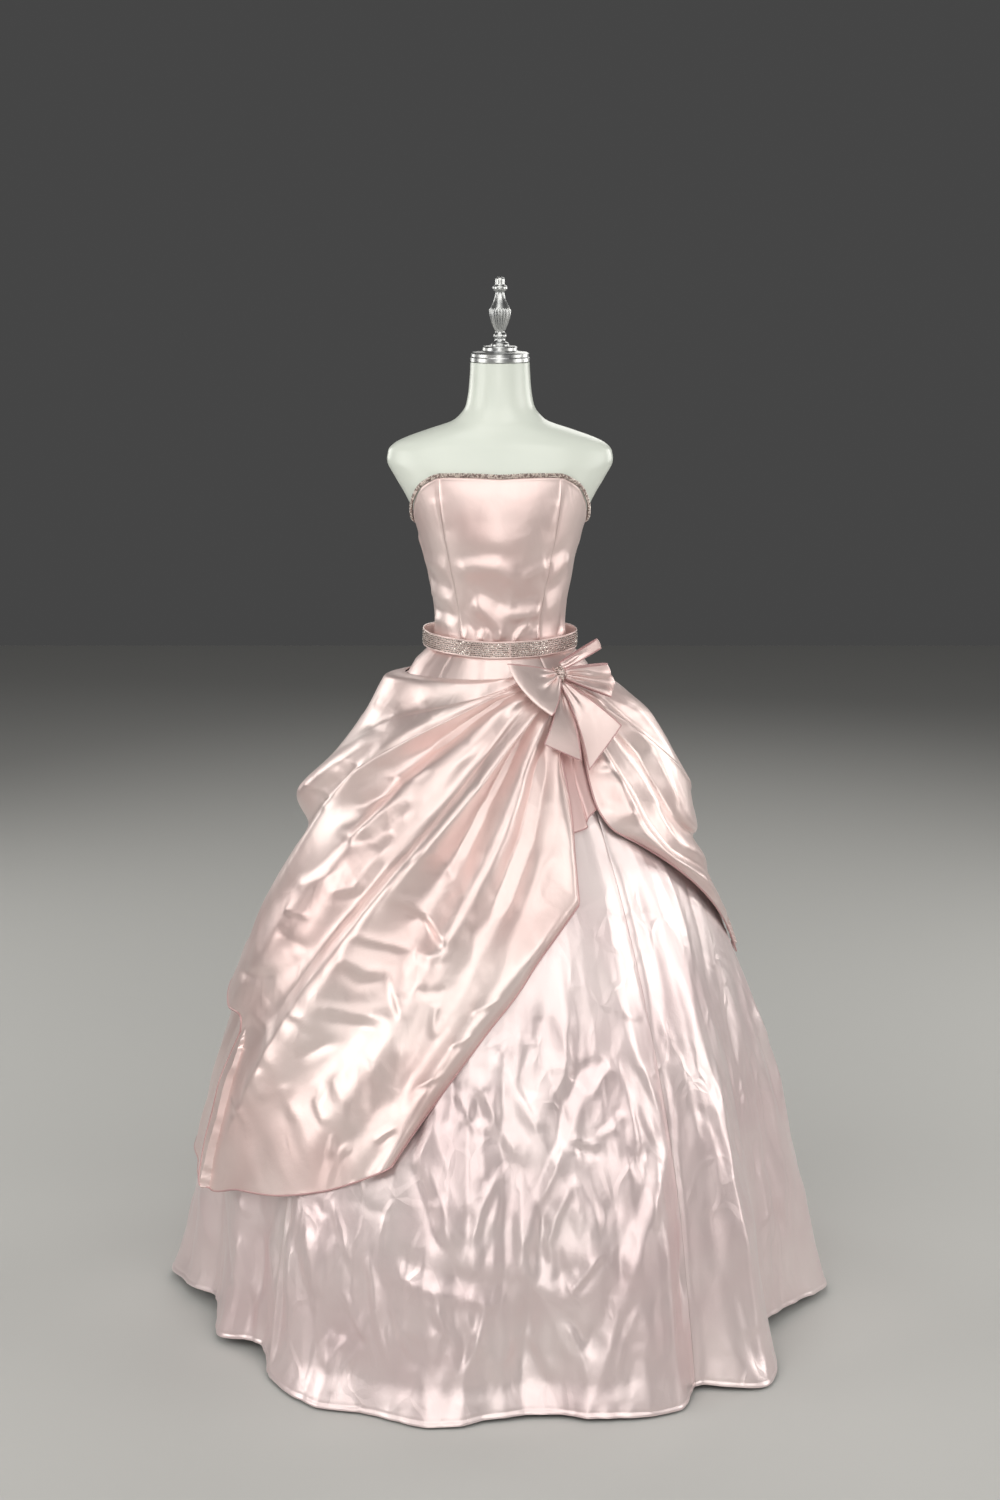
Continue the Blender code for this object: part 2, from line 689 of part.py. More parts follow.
def make_bow():
    """Three ribbon loops, two cut tails and the wrapped knot."""
    centre = around(BOW_ANGLE, BOW_RADIUS, BOW_HEIGHT)
    out = around(BOW_ANGLE, 1, 0)
    along_skirt = around(BOW_ANGLE + 90, 1, 0)

    def from_knot(root):
        return centre + along_skirt * root[0] + out * root[1] + Vector((0, 0, root[2]))

    for name, root, upper, lower, bulge, opening in LOOPS:
        start = from_knot(root)
        upper, lower = Vector(upper), Vector(lower)
        end = (upper + lower) / 2
        half = (upper - lower) / 2
        ahead = (end - start).normalized()
        pinch = LOOP_PINCH / half.length

        def loop(across, along):
            turn = pi * along
            reach = sin(turn)
            side = across * 2 - 1
            spread = pinch + (1 - pinch) * reach ** 0.8
            middle = start + (end - start) * reach + ahead * bulge * (1 - side * side) * reach
            return middle + half * side * spread + out * opening * cos(turn) * (0.25 + 0.75 * reach)

        ribbon(name, loop, 6, 12)
    for name, root, long_corner, short_corner in TAILS:
        start = from_knot(root)
        long_corner, short_corner = Vector(long_corner), Vector(short_corner)
        def tail(across, along):
            top = start + along_skirt * TAIL_ROOT * (across - 0.5)
            foot = long_corner.lerp(short_corner, across)
            return top.lerp(foot, along) + out * TAIL_LEAN * sin(pi * along)

        ribbon(name, tail, 4, 6)
    knot = bmesh.new()
    bmesh.ops.create_uvsphere(knot, u_segments=12, v_segments=8, radius=1.0)
    for vert in knot.verts:
        x, y, z = vert.co
        vert.co = from_knot([a * half for a, half in zip((x, y, z), KNOT_HALF)])
    closed_solid("bow_knot", knot, "stone_trim")


for old in list(bpy.data.objects):
    bpy.data.objects.remove(old, do_unlink=True)
gown = bpy.data.collections.new("ball_gown")
bpy.context.scene.collection.children.link(gown)
make_form()
make_bodice()
make_belt()
make_underskirt()
make_overskirt()
make_bow()
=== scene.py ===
# A strapless satin ball gown on a display form: looks, cloth folds and trims.
# Metres, +Z up, the gown's front faces -Y. Angles go round the pole in degrees:
# 0 is the front, +90 is +X (the wearer's left), 180 is the back.
import math

import bpy
import numpy as np
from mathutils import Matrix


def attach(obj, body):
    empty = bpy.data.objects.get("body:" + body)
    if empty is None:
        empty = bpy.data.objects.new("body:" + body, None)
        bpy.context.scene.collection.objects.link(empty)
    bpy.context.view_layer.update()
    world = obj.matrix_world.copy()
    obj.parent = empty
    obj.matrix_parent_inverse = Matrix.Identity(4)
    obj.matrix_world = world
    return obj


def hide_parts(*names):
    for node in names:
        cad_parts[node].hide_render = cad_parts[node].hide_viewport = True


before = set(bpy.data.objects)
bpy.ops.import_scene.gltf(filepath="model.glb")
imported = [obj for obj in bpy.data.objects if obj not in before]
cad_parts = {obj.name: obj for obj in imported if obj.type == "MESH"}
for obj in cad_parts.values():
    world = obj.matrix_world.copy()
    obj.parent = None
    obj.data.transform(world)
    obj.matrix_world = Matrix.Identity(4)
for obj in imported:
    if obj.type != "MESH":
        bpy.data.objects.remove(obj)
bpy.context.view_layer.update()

mm = 0.001
print("frame loaded")

# the camera of the photograph: it stands 4.3 m in front, a little above the form, and looks down
shot = {
    "place": (0.0, -4.30, 1.85),
    "tilt": 11.6,  # degrees below level
    "lens": 62.4,
    "focal": 2599.0,  # the same lens in pixels of the 1000 x 1500 frame
    "middle": (500.0, 750.0),
    "reach": (3.3, 4.7, 701),  # where a line of sight can meet the gown, and in how many steps
}
shotTilt = math.radians(shot["tilt"])
shotAhead = np.array((0, math.cos(shotTilt), -math.sin(shotTilt)))
shotUpward = np.array((0, math.sin(shotTilt), math.cos(shotTilt)))
camera = bpy.data.objects.new("shotCamera", bpy.data.cameras.new("shotCamera"))
bpy.context.scene.collection.objects.link(camera)
camera.location = shot["place"]
camera.rotation_euler = (math.radians(90 - shot["tilt"]), 0, 0)
camera.data.lens = shot["lens"]
camera.data.sensor_width = 36
camera.data.clip_end = 100
bpy.context.scene.camera = camera


# smooth lines and sections, all worked out for whole arrays at once

def runThrough(marks, values, at, passing=False):
    # a smooth run through the values at the marks; unless passing is set it turns flat at each
    # high and low, so it never overshoots
    marks = np.asarray(marks, float)
    values = np.asarray(values, float)
    at = np.clip(np.asarray(at, float).ravel(), marks[0], marks[-1])
    wide = (-1,) + (1,) * (values.ndim - 1)
    steps = np.diff(marks).reshape(wide)
    rises = np.diff(values, axis=0) / steps
    slopes = np.concatenate((rises[:1], rises))
    if passing:
        slopes[1:-1] = (values[2:] - values[:-2]) / (marks[2:] - marks[:-2]).reshape(wide)
    else:
        before, after = rises[:-1], rises[1:]
        same = before * after > 0
        one, two = 2 * steps[1:] + steps[:-1], steps[1:] + 2 * steps[:-1]
        mean = (one + two) / (one / np.where(same, before, 1) + two / np.where(same, after, 1))
        slopes[1:-1] = np.where(same, mean, 0)
    i = np.clip(np.searchsorted(marks, at, side="right") - 1, 0, len(marks) - 2)
    step = (marks[i + 1] - marks[i]).reshape(wide)
    t = (at - marks[i]).reshape(wide) / step
    rest = 1 - t
    near = (1 + 2 * t) * rest * rest * values[i] + t * rest * rest * step * slopes[i]
    return near + t * t * (3 - 2 * t) * values[i + 1] - t * t * rest * step * slopes[i + 1]


def lineOf(points, scale=1.0, turn=False):
    # a line through (mark, value) points; with turn it closes on itself after 360 degrees
    points = sorted(points)
    if turn:
        first, last = points[0], points[-1]
        points = [(last[0] - 360, last[1])] + points + [(first[0] + 360, first[1])]
    marks, values = np.array(points, float).T
    low = points[1][0]

    def line(at):
        at = np.asarray(at, float)
        if turn:
            at = (at - low) % 360 + low
        return runThrough(marks, values * scale, at).reshape(at.shape)

    return line


def ovalRadius(angle, side, front, back):
    across, ahead = np.sin(np.radians(angle)), np.cos(np.radians(angle))
    return 1 / np.hypot(across / side, ahead / np.where(ahead > 0, front, back))


def ovalSection(rows):
    # the radius of an oval that changes with height; rows are height, side, front, back
    side, front, back = (lineOf([(r[0], r[k]) for r in rows]) for k in (1, 2, 3))
    return lambda angle, height: ovalRadius(angle, side(height), front(height), back(height))


def around(angle, radius, height):
    turned = np.radians(angle)
    spot = np.broadcast_arrays(radius * np.sin(turned), -radius * np.cos(turned), height)
    return np.stack(spot, -1)


def ease(low, high, at):
    # 0 at low, 1 at high, smooth between and level past both
    t = np.clip((at - low) / (high - low), 0, 1)
    return t * t * (3 - 2 * t)


def bumpOf(at, middle, wide):
    return np.exp(-((at - middle) / wide) ** 2)


def evenly(start, stop, count):
    return np.linspace(start, stop, count)


def fullTurn(count):
    return evenly(0, 360, count + 1)[:-1]


def unitOf(arrows):
    return arrows / np.maximum(np.linalg.norm(arrows, axis=-1, keepdims=True), 1e-12)


# meshes from grids of points

def gridNormals(points, closed):
    if closed:
        ahead = np.roll(points, -1, 0) - np.roll(points, 1, 0)
    else:
        ahead = np.gradient(points, axis=0)
    return unitOf(np.cross(ahead, np.gradient(points, axis=1)))


def gridQuads(across, along, closed=False, ring=False):
    # closed joins the last column to the first, and ring the last row to the first
    number = np.arange(across * along).reshape(across, along)
    number = np.pad(number, ((0, int(closed)), (0, int(ring))), "wrap")
    a, b, c, d = number[:-1, :-1], number[1:, :-1], number[1:, 1:], number[:-1, 1:]
    return np.stack((a, b, c, d), -1).reshape(-1, 4)


def tubeFaces(sides, rows):
    # a tube with both its ends closed
    first = [k * rows for k in range(sides)]
    return gridQuads(sides, rows, True).tolist() + [first[::-1], [k + rows - 1 for k in first]]


def addPiece(name, points, faces, finish, sharp=50):
    mesh = bpy.data.meshes.new(name)
    mesh.from_pydata(np.asarray(points).reshape(-1, 3).tolist(), [], [list(f) for f in faces])
    mesh.polygons.foreach_set("use_smooth", [True] * len(mesh.polygons))
    mesh.set_sharp_from_angle(angle=math.radians(sharp))
    mesh.materials.append(finish)
    piece = bpy.data.objects.new(name, mesh)
    bpy.context.scene.collection.objects.link(piece)
    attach(piece, "root")
    return piece


def clothPiece(name, points, finish, thick, closed=False, sharp=50, lean=False):
    # a thin closed shell on a grid of points: its outer face, its inner face and the cut edges;
    # a lean piece has half as many rows and columns on its hidden inner face
    normal = gridNormals(points, closed)
    outward = points - np.mean(points, axis=(0, 1)) * (1, 1, 0)
    outward[..., 2] = 0
    if np.sum(normal * outward) < 0:
        points = points[::-1]
        normal = -normal[::-1]
    across, along = points.shape[:2]
    outer = gridQuads(across, along, closed)
    number = np.arange(across * along).reshape(across, along)
    if lean:
        kept = points[::2, ::2]
        fill = points.copy()
        fill[1::2, ::2] = (kept[:-1] + kept[1:]) / 2
        fill[:, 1::2] = (fill[:, :-1:2] + fill[:, 2::2]) / 2
        proud = np.pad(np.maximum(np.sum((fill - points) * normal, -1), 0), 1)
        worst = np.max([proud[i:i + across, j:j + along] for i in range(3) for j in range(3)], 0)
        inner = kept - normal[::2, ::2] * (thick + worst[::2, ::2])[..., None]
        few, short = inner.shape[:2]
        innerNumber = np.arange(few * short).reshape(few, short) + across * along
        rim, back = rimOf(number), rimOf(innerNumber)
        a, b, c, d, e = rim[:-1:2], rim[1::2], rim[2::2], back[:-1], back[1:]
        edges = np.concatenate([np.stack(f, -1) for f in ((b, a, d), (b, d, e), (c, b, e))])
        innerQuads = gridQuads(few, short)[:, ::-1] + across * along
        faces = outer.tolist() + innerQuads.tolist() + edges.tolist()
    else:
        inner = points - normal * thick
        rims = [rimOf(number)]
        if closed:
            number = np.concatenate((number, number[:1]))
            rims = [number[:, 0], number[::-1, -1]]
        faces = [outer, outer[:, ::-1] + across * along]
        for rim in rims:
            a, b = rim[:-1], rim[1:]
            faces.append(np.stack((b, a, a + across * along, b + across * along), -1))
        faces = np.concatenate(faces)
    both = np.concatenate((points.reshape(-1, 3), inner.reshape(-1, 3)))
    return addPiece(name, both, faces, finish, sharp)


def rimOf(number):
    return np.concatenate((number[:, 0], number[-1, 1:], number[-2::-1, -1], number[0, -2::-1]))


def manyOf(name, unit, faces, places, axes, finish, sharp=50):
    # one joined mesh of many small copies; axes are each copy's own three directions, with its size
    points = np.einsum("nij,vi->nvj", axes, unit) + places[:, None, :]
    numbers = np.arange(len(places))[:, None] * len(unit)
    allFaces = [copied for face in faces for copied in (numbers + np.array(face)).tolist()]
    return addPiece(name, points, allFaces, finish, sharp)


def turnedPiece(name, profile, finish, steps=96, reeds=None, sharp=40):
    # a lathe-turned piece from (radius, height) points, from the top down
    profile = np.array(profile, float)
    angle = fullTurn(steps)
    radius = np.repeat(profile[None, :, 0], steps, 0)
    height = np.repeat(profile[None, :, 1], steps, 0)
    if reeds:
        within = ease(reeds["low"], reeds["low"] + reeds["fade"], height)
        within *= 1 - ease(reeds["high"] - reeds["fade"], reeds["high"], height)
        wave = np.abs(np.sin(np.radians(angle * reeds["count"] / 2)))[:, None]
        radius = radius * (1 - reeds["depth"] * within * (1 - wave))
    points = around(angle[:, None], radius, height)
    faces = [f[::-1] for f in tubeFaces(steps, len(profile))]
    return addPiece(name, points, faces, finish, sharp)


def finely(profile, parts=6):
    # rounds a coarse profile: each stretch is cut finer along a smooth pass through its points
    profile = np.array(profile, float)
    steps = np.hypot(*np.diff(profile, axis=0).T)
    marks = np.concatenate(((0,), np.cumsum(steps)))
    at = np.interp(evenly(0, len(profile) - 1, parts * (len(profile) - 1) + 1),
                   np.arange(len(profile)), marks)
    return runThrough(marks, profile, at)


def ballUnit(across=8, along=6):
    rings = np.radians(evenly(-90, 90, along + 1))[1:-1]
    turn = np.radians(fullTurn(across))
    points = [(0, 0, -1)]
    for ring in rings:
        points += [(math.cos(ring) * math.cos(a), math.cos(ring) * math.sin(a), math.sin(ring))
                   for a in turn]
    points.append((0, 0, 1))
    faces = []
    for k in range(across):
        after = (k + 1) % across
        faces.append((0, 1 + after, 1 + k))
        for ring in range(along - 2):
            a, b = 1 + ring * across + k, 1 + ring * across + after
            faces.append((a, b, b + across, a + across))
        high = 1 + (along - 2) * across
        faces.append((high + k, high + after, len(points) - 1))
    return np.array(points, float), faces


# finishes

def fromHex(code):
    # sRGB hex to the linear colour that the shaders take
    parts = [int(code[k:k + 2], 16) / 255 for k in (0, 2, 4)]
    return tuple(c / 12.92 if c <= 0.04045 else ((c + 0.055) / 1.055) ** 2.4 for c in parts) + (1,)


def newFinish(name, **values):
    finish = bpy.data.materials.new(name)
    finish.use_nodes = True
    shader = finish.node_tree.nodes["Principled BSDF"]
    for socket, value in values.items():
        shader.inputs[socket.replace("_", " ")].default_value = value
    return finish, shader


def addNode(finish, kind, settings=None, links=None):
    # a node with its settings; links go from (node, output) to one of its inputs
    tree = finish.node_tree
    made = tree.nodes.new("ShaderNode" + kind)
    for key, value in (settings or {}).items():
        if hasattr(made, key):
            setattr(made, key, value)
        else:
            made.inputs[key].default_value = value
    for socket, (source, output) in (links or {}).items():
        tree.links.new(source.outputs[output], made.inputs[socket])
    return made


def blendOf(finish, share, low, high):
    # a colour that runs from low to high with the share
    ramp = addNode(finish, "ValToRGB", {}, {"Fac": share})
    for stop, code, place in zip(ramp.color_ramp.elements, (low, high), (0.3, 0.7)):
        stop.color, stop.position = fromHex(code), place
    return ramp, "Color"


def rangeOf(finish, share, low, high):
    run = addNode(finish, "MapRange", {"To Min": low, "To Max": high}, {"Value": share})
    return run, "Result"


def joinUp(finish, shader, links):
    for socket, (source, output) in links.items():
        finish.node_tree.links.new(source.outputs[output], shader.inputs[socket])


satinSizes = {
    "noises": {  # the size of each and its detail
        "broad": (0.16, 2.0),  # slow drift of tone across the cloth
        "float": (1.7 * mm, 1.0),  # the real floats are 0.1 mm; drawn coarser so that they show
        "crush": (9 * mm, 2.5),  # the little dents left by handling
        "slub": (14 * mm, 3.0),
        "warp": (46 * mm / 0.6, 1.0),  # bends the packing lines
        "patch": (110 * mm, 1.0),  # where the packing lines show
    },
    "alongCloth": ("float", "slub"),  # these two run along the cloth
    "stretch": 0.22,
    "glossSpread": (-0.05, 0.07),
    "fold": 46 * mm,  # how far the sharp lines that packing leaves lie from each other
    "foldStretch": 0.45,
    "foldHigh": 0.9 * mm,
    "foldWide": 0.16,
    "foldShown": (0.42, 0.6),
}


def satinFinish(name, shade, light, roughness, metal, crush, lines=0.0):
    # polyester duchess satin: long floats on one face catch the light like brushed metal, so the
    # ridges go nearly white and the hollows keep the dye's colour
    finish, shader = newFinish(name, Metallic=metal, IOR=1.58, Sheen_Weight=0.1,
                               Sheen_Roughness=0.35, Coat_Weight=0.6, Coat_IOR=1.9,
                               Coat_Roughness=0.38)
    sizes = satinSizes
    place = addNode(finish, "TexCoord")
    stretch = addNode(finish, "Mapping", {"Scale": (1.0, 1.0, sizes["stretch"])},
                      {"Vector": (place, "Object")})
    noise = {}
    for use, (size, detail) in sizes["noises"].items():
        source = (stretch, "Vector") if use in sizes["alongCloth"] else (place, "Object")
        noise[use] = (addNode(finish, "TexNoise", {"Scale": 1 / size, "Detail": detail},
                              {"Vector": source}), "Fac")
    fine = addNode(finish, "Bump", {"Strength": 0.5, "Distance": 0.2 * crush},
                   {"Height": noise["float"]})
    soft = addNode(finish, "Bump", {"Strength": 0.5, "Distance": crush},
                   {"Height": noise["crush"], "Normal": (fine, "Normal")})
    # the packing lines run along the edges of warped cells and come and go in patches
    cell = 1 / sizes["fold"]
    spread = addNode(finish, "Mapping", {"Scale": (cell, cell, sizes["foldStretch"] * cell)},
                     {"Vector": (place, "Object"), "Location": (noise["warp"][0], "Color")})
    cells = addNode(finish, "TexVoronoi", {"feature": "DISTANCE_TO_EDGE", "Scale": 1.0},
                    {"Vector": (spread, "Vector")})
    start, full = sizes["foldShown"]
    shown = addNode(finish, "MapRange", {"From Min": start, "From Max": full, "To Max": lines},
                    {"Value": noise["patch"]})
    crest = addNode(finish, "MapRange", {"From Max": sizes["foldWide"], "To Max": 0.0},
                    {"Value": (cells, "Distance"), "To Min": (shown, "Result")})
    sharp = addNode(finish, "Bump", {"Strength": 0.8, "Distance": sizes["foldHigh"]},
                    {"Height": (crest, "Result"), "Normal": (soft, "Normal")})
    low, high = sizes["glossSpread"]
    joinUp(finish, shader, {
        "Base Color": blendOf(finish, noise["broad"], shade, light),
        "Roughness": rangeOf(finish, noise["slub"], roughness + low, roughness + high),
        "Normal": (sharp, "Normal")})
    return finish


gownSatin = satinFinish("wovenDuchessSatinDustyPink", "E8CBC7", "F3E0DC", 0.42, 0.72, 0.4 * mm,
                        0.35)
skirtSatin = satinFinish("wovenSatinSilveryPink", "EBD4D5", "F5E5E4", 0.41, 0.75, 0.45 * mm, 1.0)
# painted shade: the flounce hangs in a shadowed pocket, so its satin is given a deeper rose and a
# duller, less metallic finish to stand in for the shade and the pink bounce light there
flounceShadeSatin = satinFinish("wovenSatinRosePaintedShade", "DDB5B3", "E8C8C5", 0.46, 0.50, 0.3 * mm)
cordSatin = satinFinish("satinPipingRose", "B98A8B", "CFA3A2", 0.42, 0.30, 0.2 * mm)
ribbonSatin = satinFinish("satinRibbonPink", "E2C6C2", "F0DCD6", 0.40, 0.55, 0.2 * mm)
trimGround = satinFinish("wovenTapeTaupe", "8A7570", "A48F88", 0.50, 0.20, 0.2 * mm)
print("satins made")


def paintedShell():
    # moulded shell with a sprayed satin-gloss coat: very smooth, a faint orange peel in the shine
    finish, shader = newFinish("sprayPaintedShellIvory", Roughness=0.33, IOR=1.5, Coat_Weight=0.25,
                               Coat_Roughness=0.2)
    place = addNode(finish, "TexCoord")
    drift = addNode(finish, "TexNoise", {"Scale": 9.0, "Detail": 2.0},
                    {"Vector": (place, "Object")})
    peel = addNode(finish, "TexNoise", {"Scale": 1 / (2.5 * mm), "Detail": 1.0},
                   {"Vector": (place, "Object")})
    skin = addNode(finish, "Bump", {"Strength": 0.2, "Distance": 0.04 * mm},
                   {"Height": (peel, "Fac")})
    joinUp(finish, shader, {"Base Color": blendOf(finish, (drift, "Fac"), "DDE3DA", "E4E9E0"),
                            "Normal": (skin, "Normal")})
    return finish


def platedMetal(name, low, high, roughness, wear):
    # polished nickel plate over a turned core: sharp reflections, duller where hands have been
    finish, shader = newFinish(name, Metallic=1.0)
    place = addNode(finish, "TexCoord")
    smear = addNode(finish, "TexNoise", {"Scale": 60.0, "Detail": 4.0},
                    {"Vector": (place, "Object")})
    joinUp(finish, shader, {
        "Base Color": blendOf(finish, (smear, "Fac"), low, high),
        "Roughness": rangeOf(finish, (smear, "Fac"), roughness, roughness + wear)})
    return finish


def glassStone(name, low, high, roughness):
    # small foil-backed glass stones: grey foil seen through glass, each one a shade of its own
    finish, shader = newFinish(name, Metallic=0.85, IOR=1.55, Coat_Weight=0.6, Coat_Roughness=0.05)
    own = addNode(finish, "NewGeometry")
    joinUp(finish, shader, {
        "Base Color": blendOf(finish, (own, "Random Per Island"), low, high),
        "Roughness": rangeOf(finish, (own, "Random Per Island"), roughness, roughness + 0.12)})
    return finish


shellPaint = paintedShell()
silverPlate = platedMetal("nickelPlatedSilver", "B4B6B7", "D0D1D0", 0.24, 0.14)
steelBrushed = platedMetal("brushedSteelPlate", "8E9194", "A5A8AA", 0.30, 0.15)
beltStones = glassStone("foilBackedGlassStones", "9C8C85", "FFF8F2", 0.16)
cordBeads = glassStone("silverLinedSeedBeads", "A08D87", "E6DAD2", 0.24)
print("metals and stones made")


# the display form

formSizes = {
    "rows": (
        (1.616, 0.0484, 0.047, 0.050), (1.585, 0.0502, 0.048, 0.051), (1.548, 0.0556, 0.051, 0.055),
        (1.523, 0.0745, 0.057, 0.062), (1.505, 0.1240, 0.066, 0.072), (1.495, 0.1520, 0.071, 0.078),
        (1.485, 0.1730, 0.075, 0.082), (1.473, 0.1840, 0.078, 0.085), (1.457, 0.1865, 0.083, 0.088),
        (1.430, 0.1740, 0.092, 0.092), (1.400, 0.1565, 0.100, 0.094), (1.366, 0.1410, 0.105, 0.095),
        (1.335, 0.1310, 0.106, 0.094), (1.300, 0.1215, 0.102, 0.090), (1.262, 0.1150, 0.095, 0.084),
        (1.222, 0.1075, 0.088, 0.080), (1.188, 0.1050, 0.085, 0.079), (1.152, 0.1090, 0.088, 0.084),
        (1.100, 0.1220, 0.098, 0.097), (1.040, 0.1380, 0.106, 0.108), (0.980, 0.1480, 0.110, 0.115),
        (0.930, 0.1500, 0.110, 0.115)),  # height, half width, depth to the front and to the back
    "around": 128,
    "rowsBetween": 5,
    "capProfile": (  # this and the other profiles are radius and height, from the top down
        (0.0265, 1.6420), (0.0285, 1.6400), (0.0285, 1.6350), (0.0305, 1.6335), (0.0440, 1.6325),
        (0.0475, 1.6300), (0.0475, 1.6250), (0.0488, 1.6235), (0.0488, 1.6175), (0.0470, 1.6163)),
    "finialProfile": (
        (0.0050, 1.7530), (0.0074, 1.7510), (0.0078, 1.7480), (0.0078, 1.7410), (0.0105, 1.7398),
        (0.0122, 1.7375), (0.0122, 1.7345), (0.0105, 1.7320), (0.0074, 1.7290), (0.0088, 1.7210),
        (0.0120, 1.7120), (0.0160, 1.7040), (0.0180, 1.6990), (0.0176, 1.6930), (0.0145, 1.6810),
        (0.0100, 1.6700), (0.0080, 1.6650), (0.0102, 1.6610), (0.0108, 1.6580), (0.0085, 1.6540),
        (0.0095, 1.6500), (0.0145, 1.6465), (0.0155, 1.6440), (0.0155, 1.6423)),
    "poleProfile": (
        (0.0140, 0.9297), (0.0140, 0.0450), (0.0190, 0.0430), (0.0210, 0.0400), (0.0210, 0.0220),
        (0.0260, 0.0180), (0.0280, 0.0143)),
    "plateProfile": (
        (0.1600, 0.0140), (0.1640, 0.0132), (0.1680, 0.0110), (0.1700, 0.0080), (0.1700, 0.0020),
        (0.1690, 0.0000)),
    "reeds": {"low": 1.667, "high": 1.703, "fade": 0.003, "count": 22, "depth": 0.14},
}
bodyRadius = ovalSection(formSizes["rows"])


def makeForm():
    heights = [r[0] for r in formSizes["rows"]]
    cuts = evenly(0, len(heights) - 1, formSizes["rowsBetween"] * (len(heights) - 1) + 1)
    height = np.interp(cuts, np.arange(len(heights)), heights)
    angle = fullTurn(formSizes["around"])[:, None]
    points = around(angle, bodyRadius(angle, height[None, :]), height[None, :])
    faces = [f[::-1] for f in tubeFaces(len(angle), len(height))]
    torso = addPiece("formTorso", points, faces, shellPaint, 60)
    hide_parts("form_torso")
    finial = finely(formSizes["finialProfile"], 4)
    turned = (  # name, profile, finish, sides, reeds, sharp edge, the node it replaces, its slot
        ("neckCap", formSizes["capProfile"], silverPlate, 128, None, 40, "form_neck_cap", "silver"),
        ("neckFinial", finial, silverPlate, 110, formSizes["reeds"], 70, "form_finial", "silver"),
        ("formPole", formSizes["poleProfile"], silverPlate, 64, None, 40, "form_pole", "silver"),
        ("basePlate", formSizes["plateProfile"], steelBrushed, 128, None, 40, "form_base",
         "base_grey"))
    for name, profile, finish, sides, reeds, sharp, node, slot in turned:
        piece = turnedPiece(name, profile, finish, sides, reeds, sharp)
        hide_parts(node)
    print("form made")


makeForm()


# where a point of the photograph's frame falls on the gown

def seenOn(px, py, radius):
    # the angle and height of the first place where the line of sight meets the given radius
    side = (px - shot["middle"][0]) / shot["focal"]
    rise = (shot["middle"][1] - py) / shot["focal"]
    line = shotAhead + np.array((side, 0, 0)) + rise * shotUpward
    places = np.array(shot["place"]) + evenly(*shot["reach"])[:, None] * line
    angle = np.degrees(np.arctan2(places[:, 0], -places[:, 1]))
    past = np.hypot(places[:, 0], places[:, 1]) - radius(angle, places[:, 2])
    inside = np.nonzero(past < 0)[0]
    k = inside[0] if len(inside) else int(np.argmin(past))
    return float(angle[k]), float(places[k, 2])


coneApex, coneHalf = 1.439, math.radians(21.9)  # the skirt's cone, which unrolls flat


def onCone(turned, height):
    slant, flat = (coneApex - height) / math.cos(coneHalf), np.radians(turned) * math.sin(coneHalf)
    return slant * np.sin(flat), slant * np.cos(flat)


def onBody(turned, height):
    # the bodice unrolls by its middling radius, 115 mm
    return np.radians(turned) * 0.115, height + 0 * turned


sharpScale = {"deep": 1.15, "wide": 1.15}


def pressCrease(total, flat, ends, crease, scale, near=True):
    # adds one crease to the lift of every place that it reaches; ends are its points laid flat
    depth, width, kind = crease
    depth, width = depth * scale["deep"], width * scale["wide"]
    reach = 3.5 * width * mm
    near = near & np.all((flat > ends.min(0) - reach) & (flat < ends.max(0) + reach), -1)
    if near.any():
        x, y = flat[near].T
        total[near] += depth * mm * creaseShape(x, y, ends, width * mm, kind)


def creaseLift(angle, height, creases, flatten=onCone, scale=sharpScale):
    # how far the creases move each place off the cloth; a crease is its points as (angle, height),
    # its depth and width in mm and its kind
    angle, height = np.broadcast_arrays(angle, height)
    total = np.zeros(angle.shape)
    for points, *crease in creases:
        middle = points[len(points) // 2][0]
        turned = (angle - middle + 180) % 360 - 180
        ends = np.array([flatten(a - middle, h) for a, h in points])
        flat = np.stack(flatten(turned, height), -1)
        pressCrease(total, flat, ends, crease, scale, np.abs(turned) < 80)
    return total


creaseForm = {
    "round": 1.1,
    "crisp": 2.6,
    "tip": 0.16,  # how blunt the crisp line is
    "tentWide": 1.9,
    "full": 0.22,  # the share of its length where a crease is fully there, and where it fades
    "fades": 0.7,
}


def creaseShape(x, y, ends, width, kind):
    # how high each place stands on the crease, 1 being its full depth; x and y are laid flat
    best = np.full(x.shape, 9.0)
    side, share = np.zeros(x.shape), np.zeros(x.shape)
    lengths = np.hypot(*np.diff(ends, axis=0).T)
    before = 0.0
    for start, stop, length in zip(ends[:-1], ends[1:], lengths):
        ahead = (stop - start) / length
        t = np.clip((x - start[0]) * ahead[0] + (y - start[1]) * ahead[1], 0, length)
        dx, dy = x - start[0] - ahead[0] * t, y - start[1] - ahead[1] * t
        far = np.hypot(dx, dy)
        nearer = far < best
        best = np.where(nearer, far, best)
        side = np.where(nearer, np.sign(ahead[0] * dy - ahead[1] * dx), side)
        share = np.where(nearer, (before + t) / lengths.sum(), share)
        before += length
    # across the crease: a round top, a crisp fold line and a tent with straight sides
    off, form = best * side / width, creaseForm
    soft = np.exp(-form["round"] * off * off)
    crisp = np.exp(form["crisp"] * (form["tip"] - np.sqrt(off * off + form["tip"] ** 2)))
    slope = 1 - (np.sqrt(off * off + 0.02) - 0.14) / form["tentWide"]
    tent = (slope + np.sqrt(slope * slope + 0.012)) / 2
    if kind == "pinch":
        lift = 0.5 * (crisp + tent) - 0.45 * bumpOf(off, 1.3, 0.8)
    elif kind == "step":
        lift = np.tanh(2.2 * off) * bumpOf(off, 0, 2.4)
    elif kind == "hollow":
        lift = -0.4 * soft - 0.6 * tent
    elif kind == "roll":
        lift = soft
    else:
        lift = 0.25 * soft + 0.75 * tent
    return lift * ease(0, form["full"], share) * (1 - ease(form["fades"], 1, share))


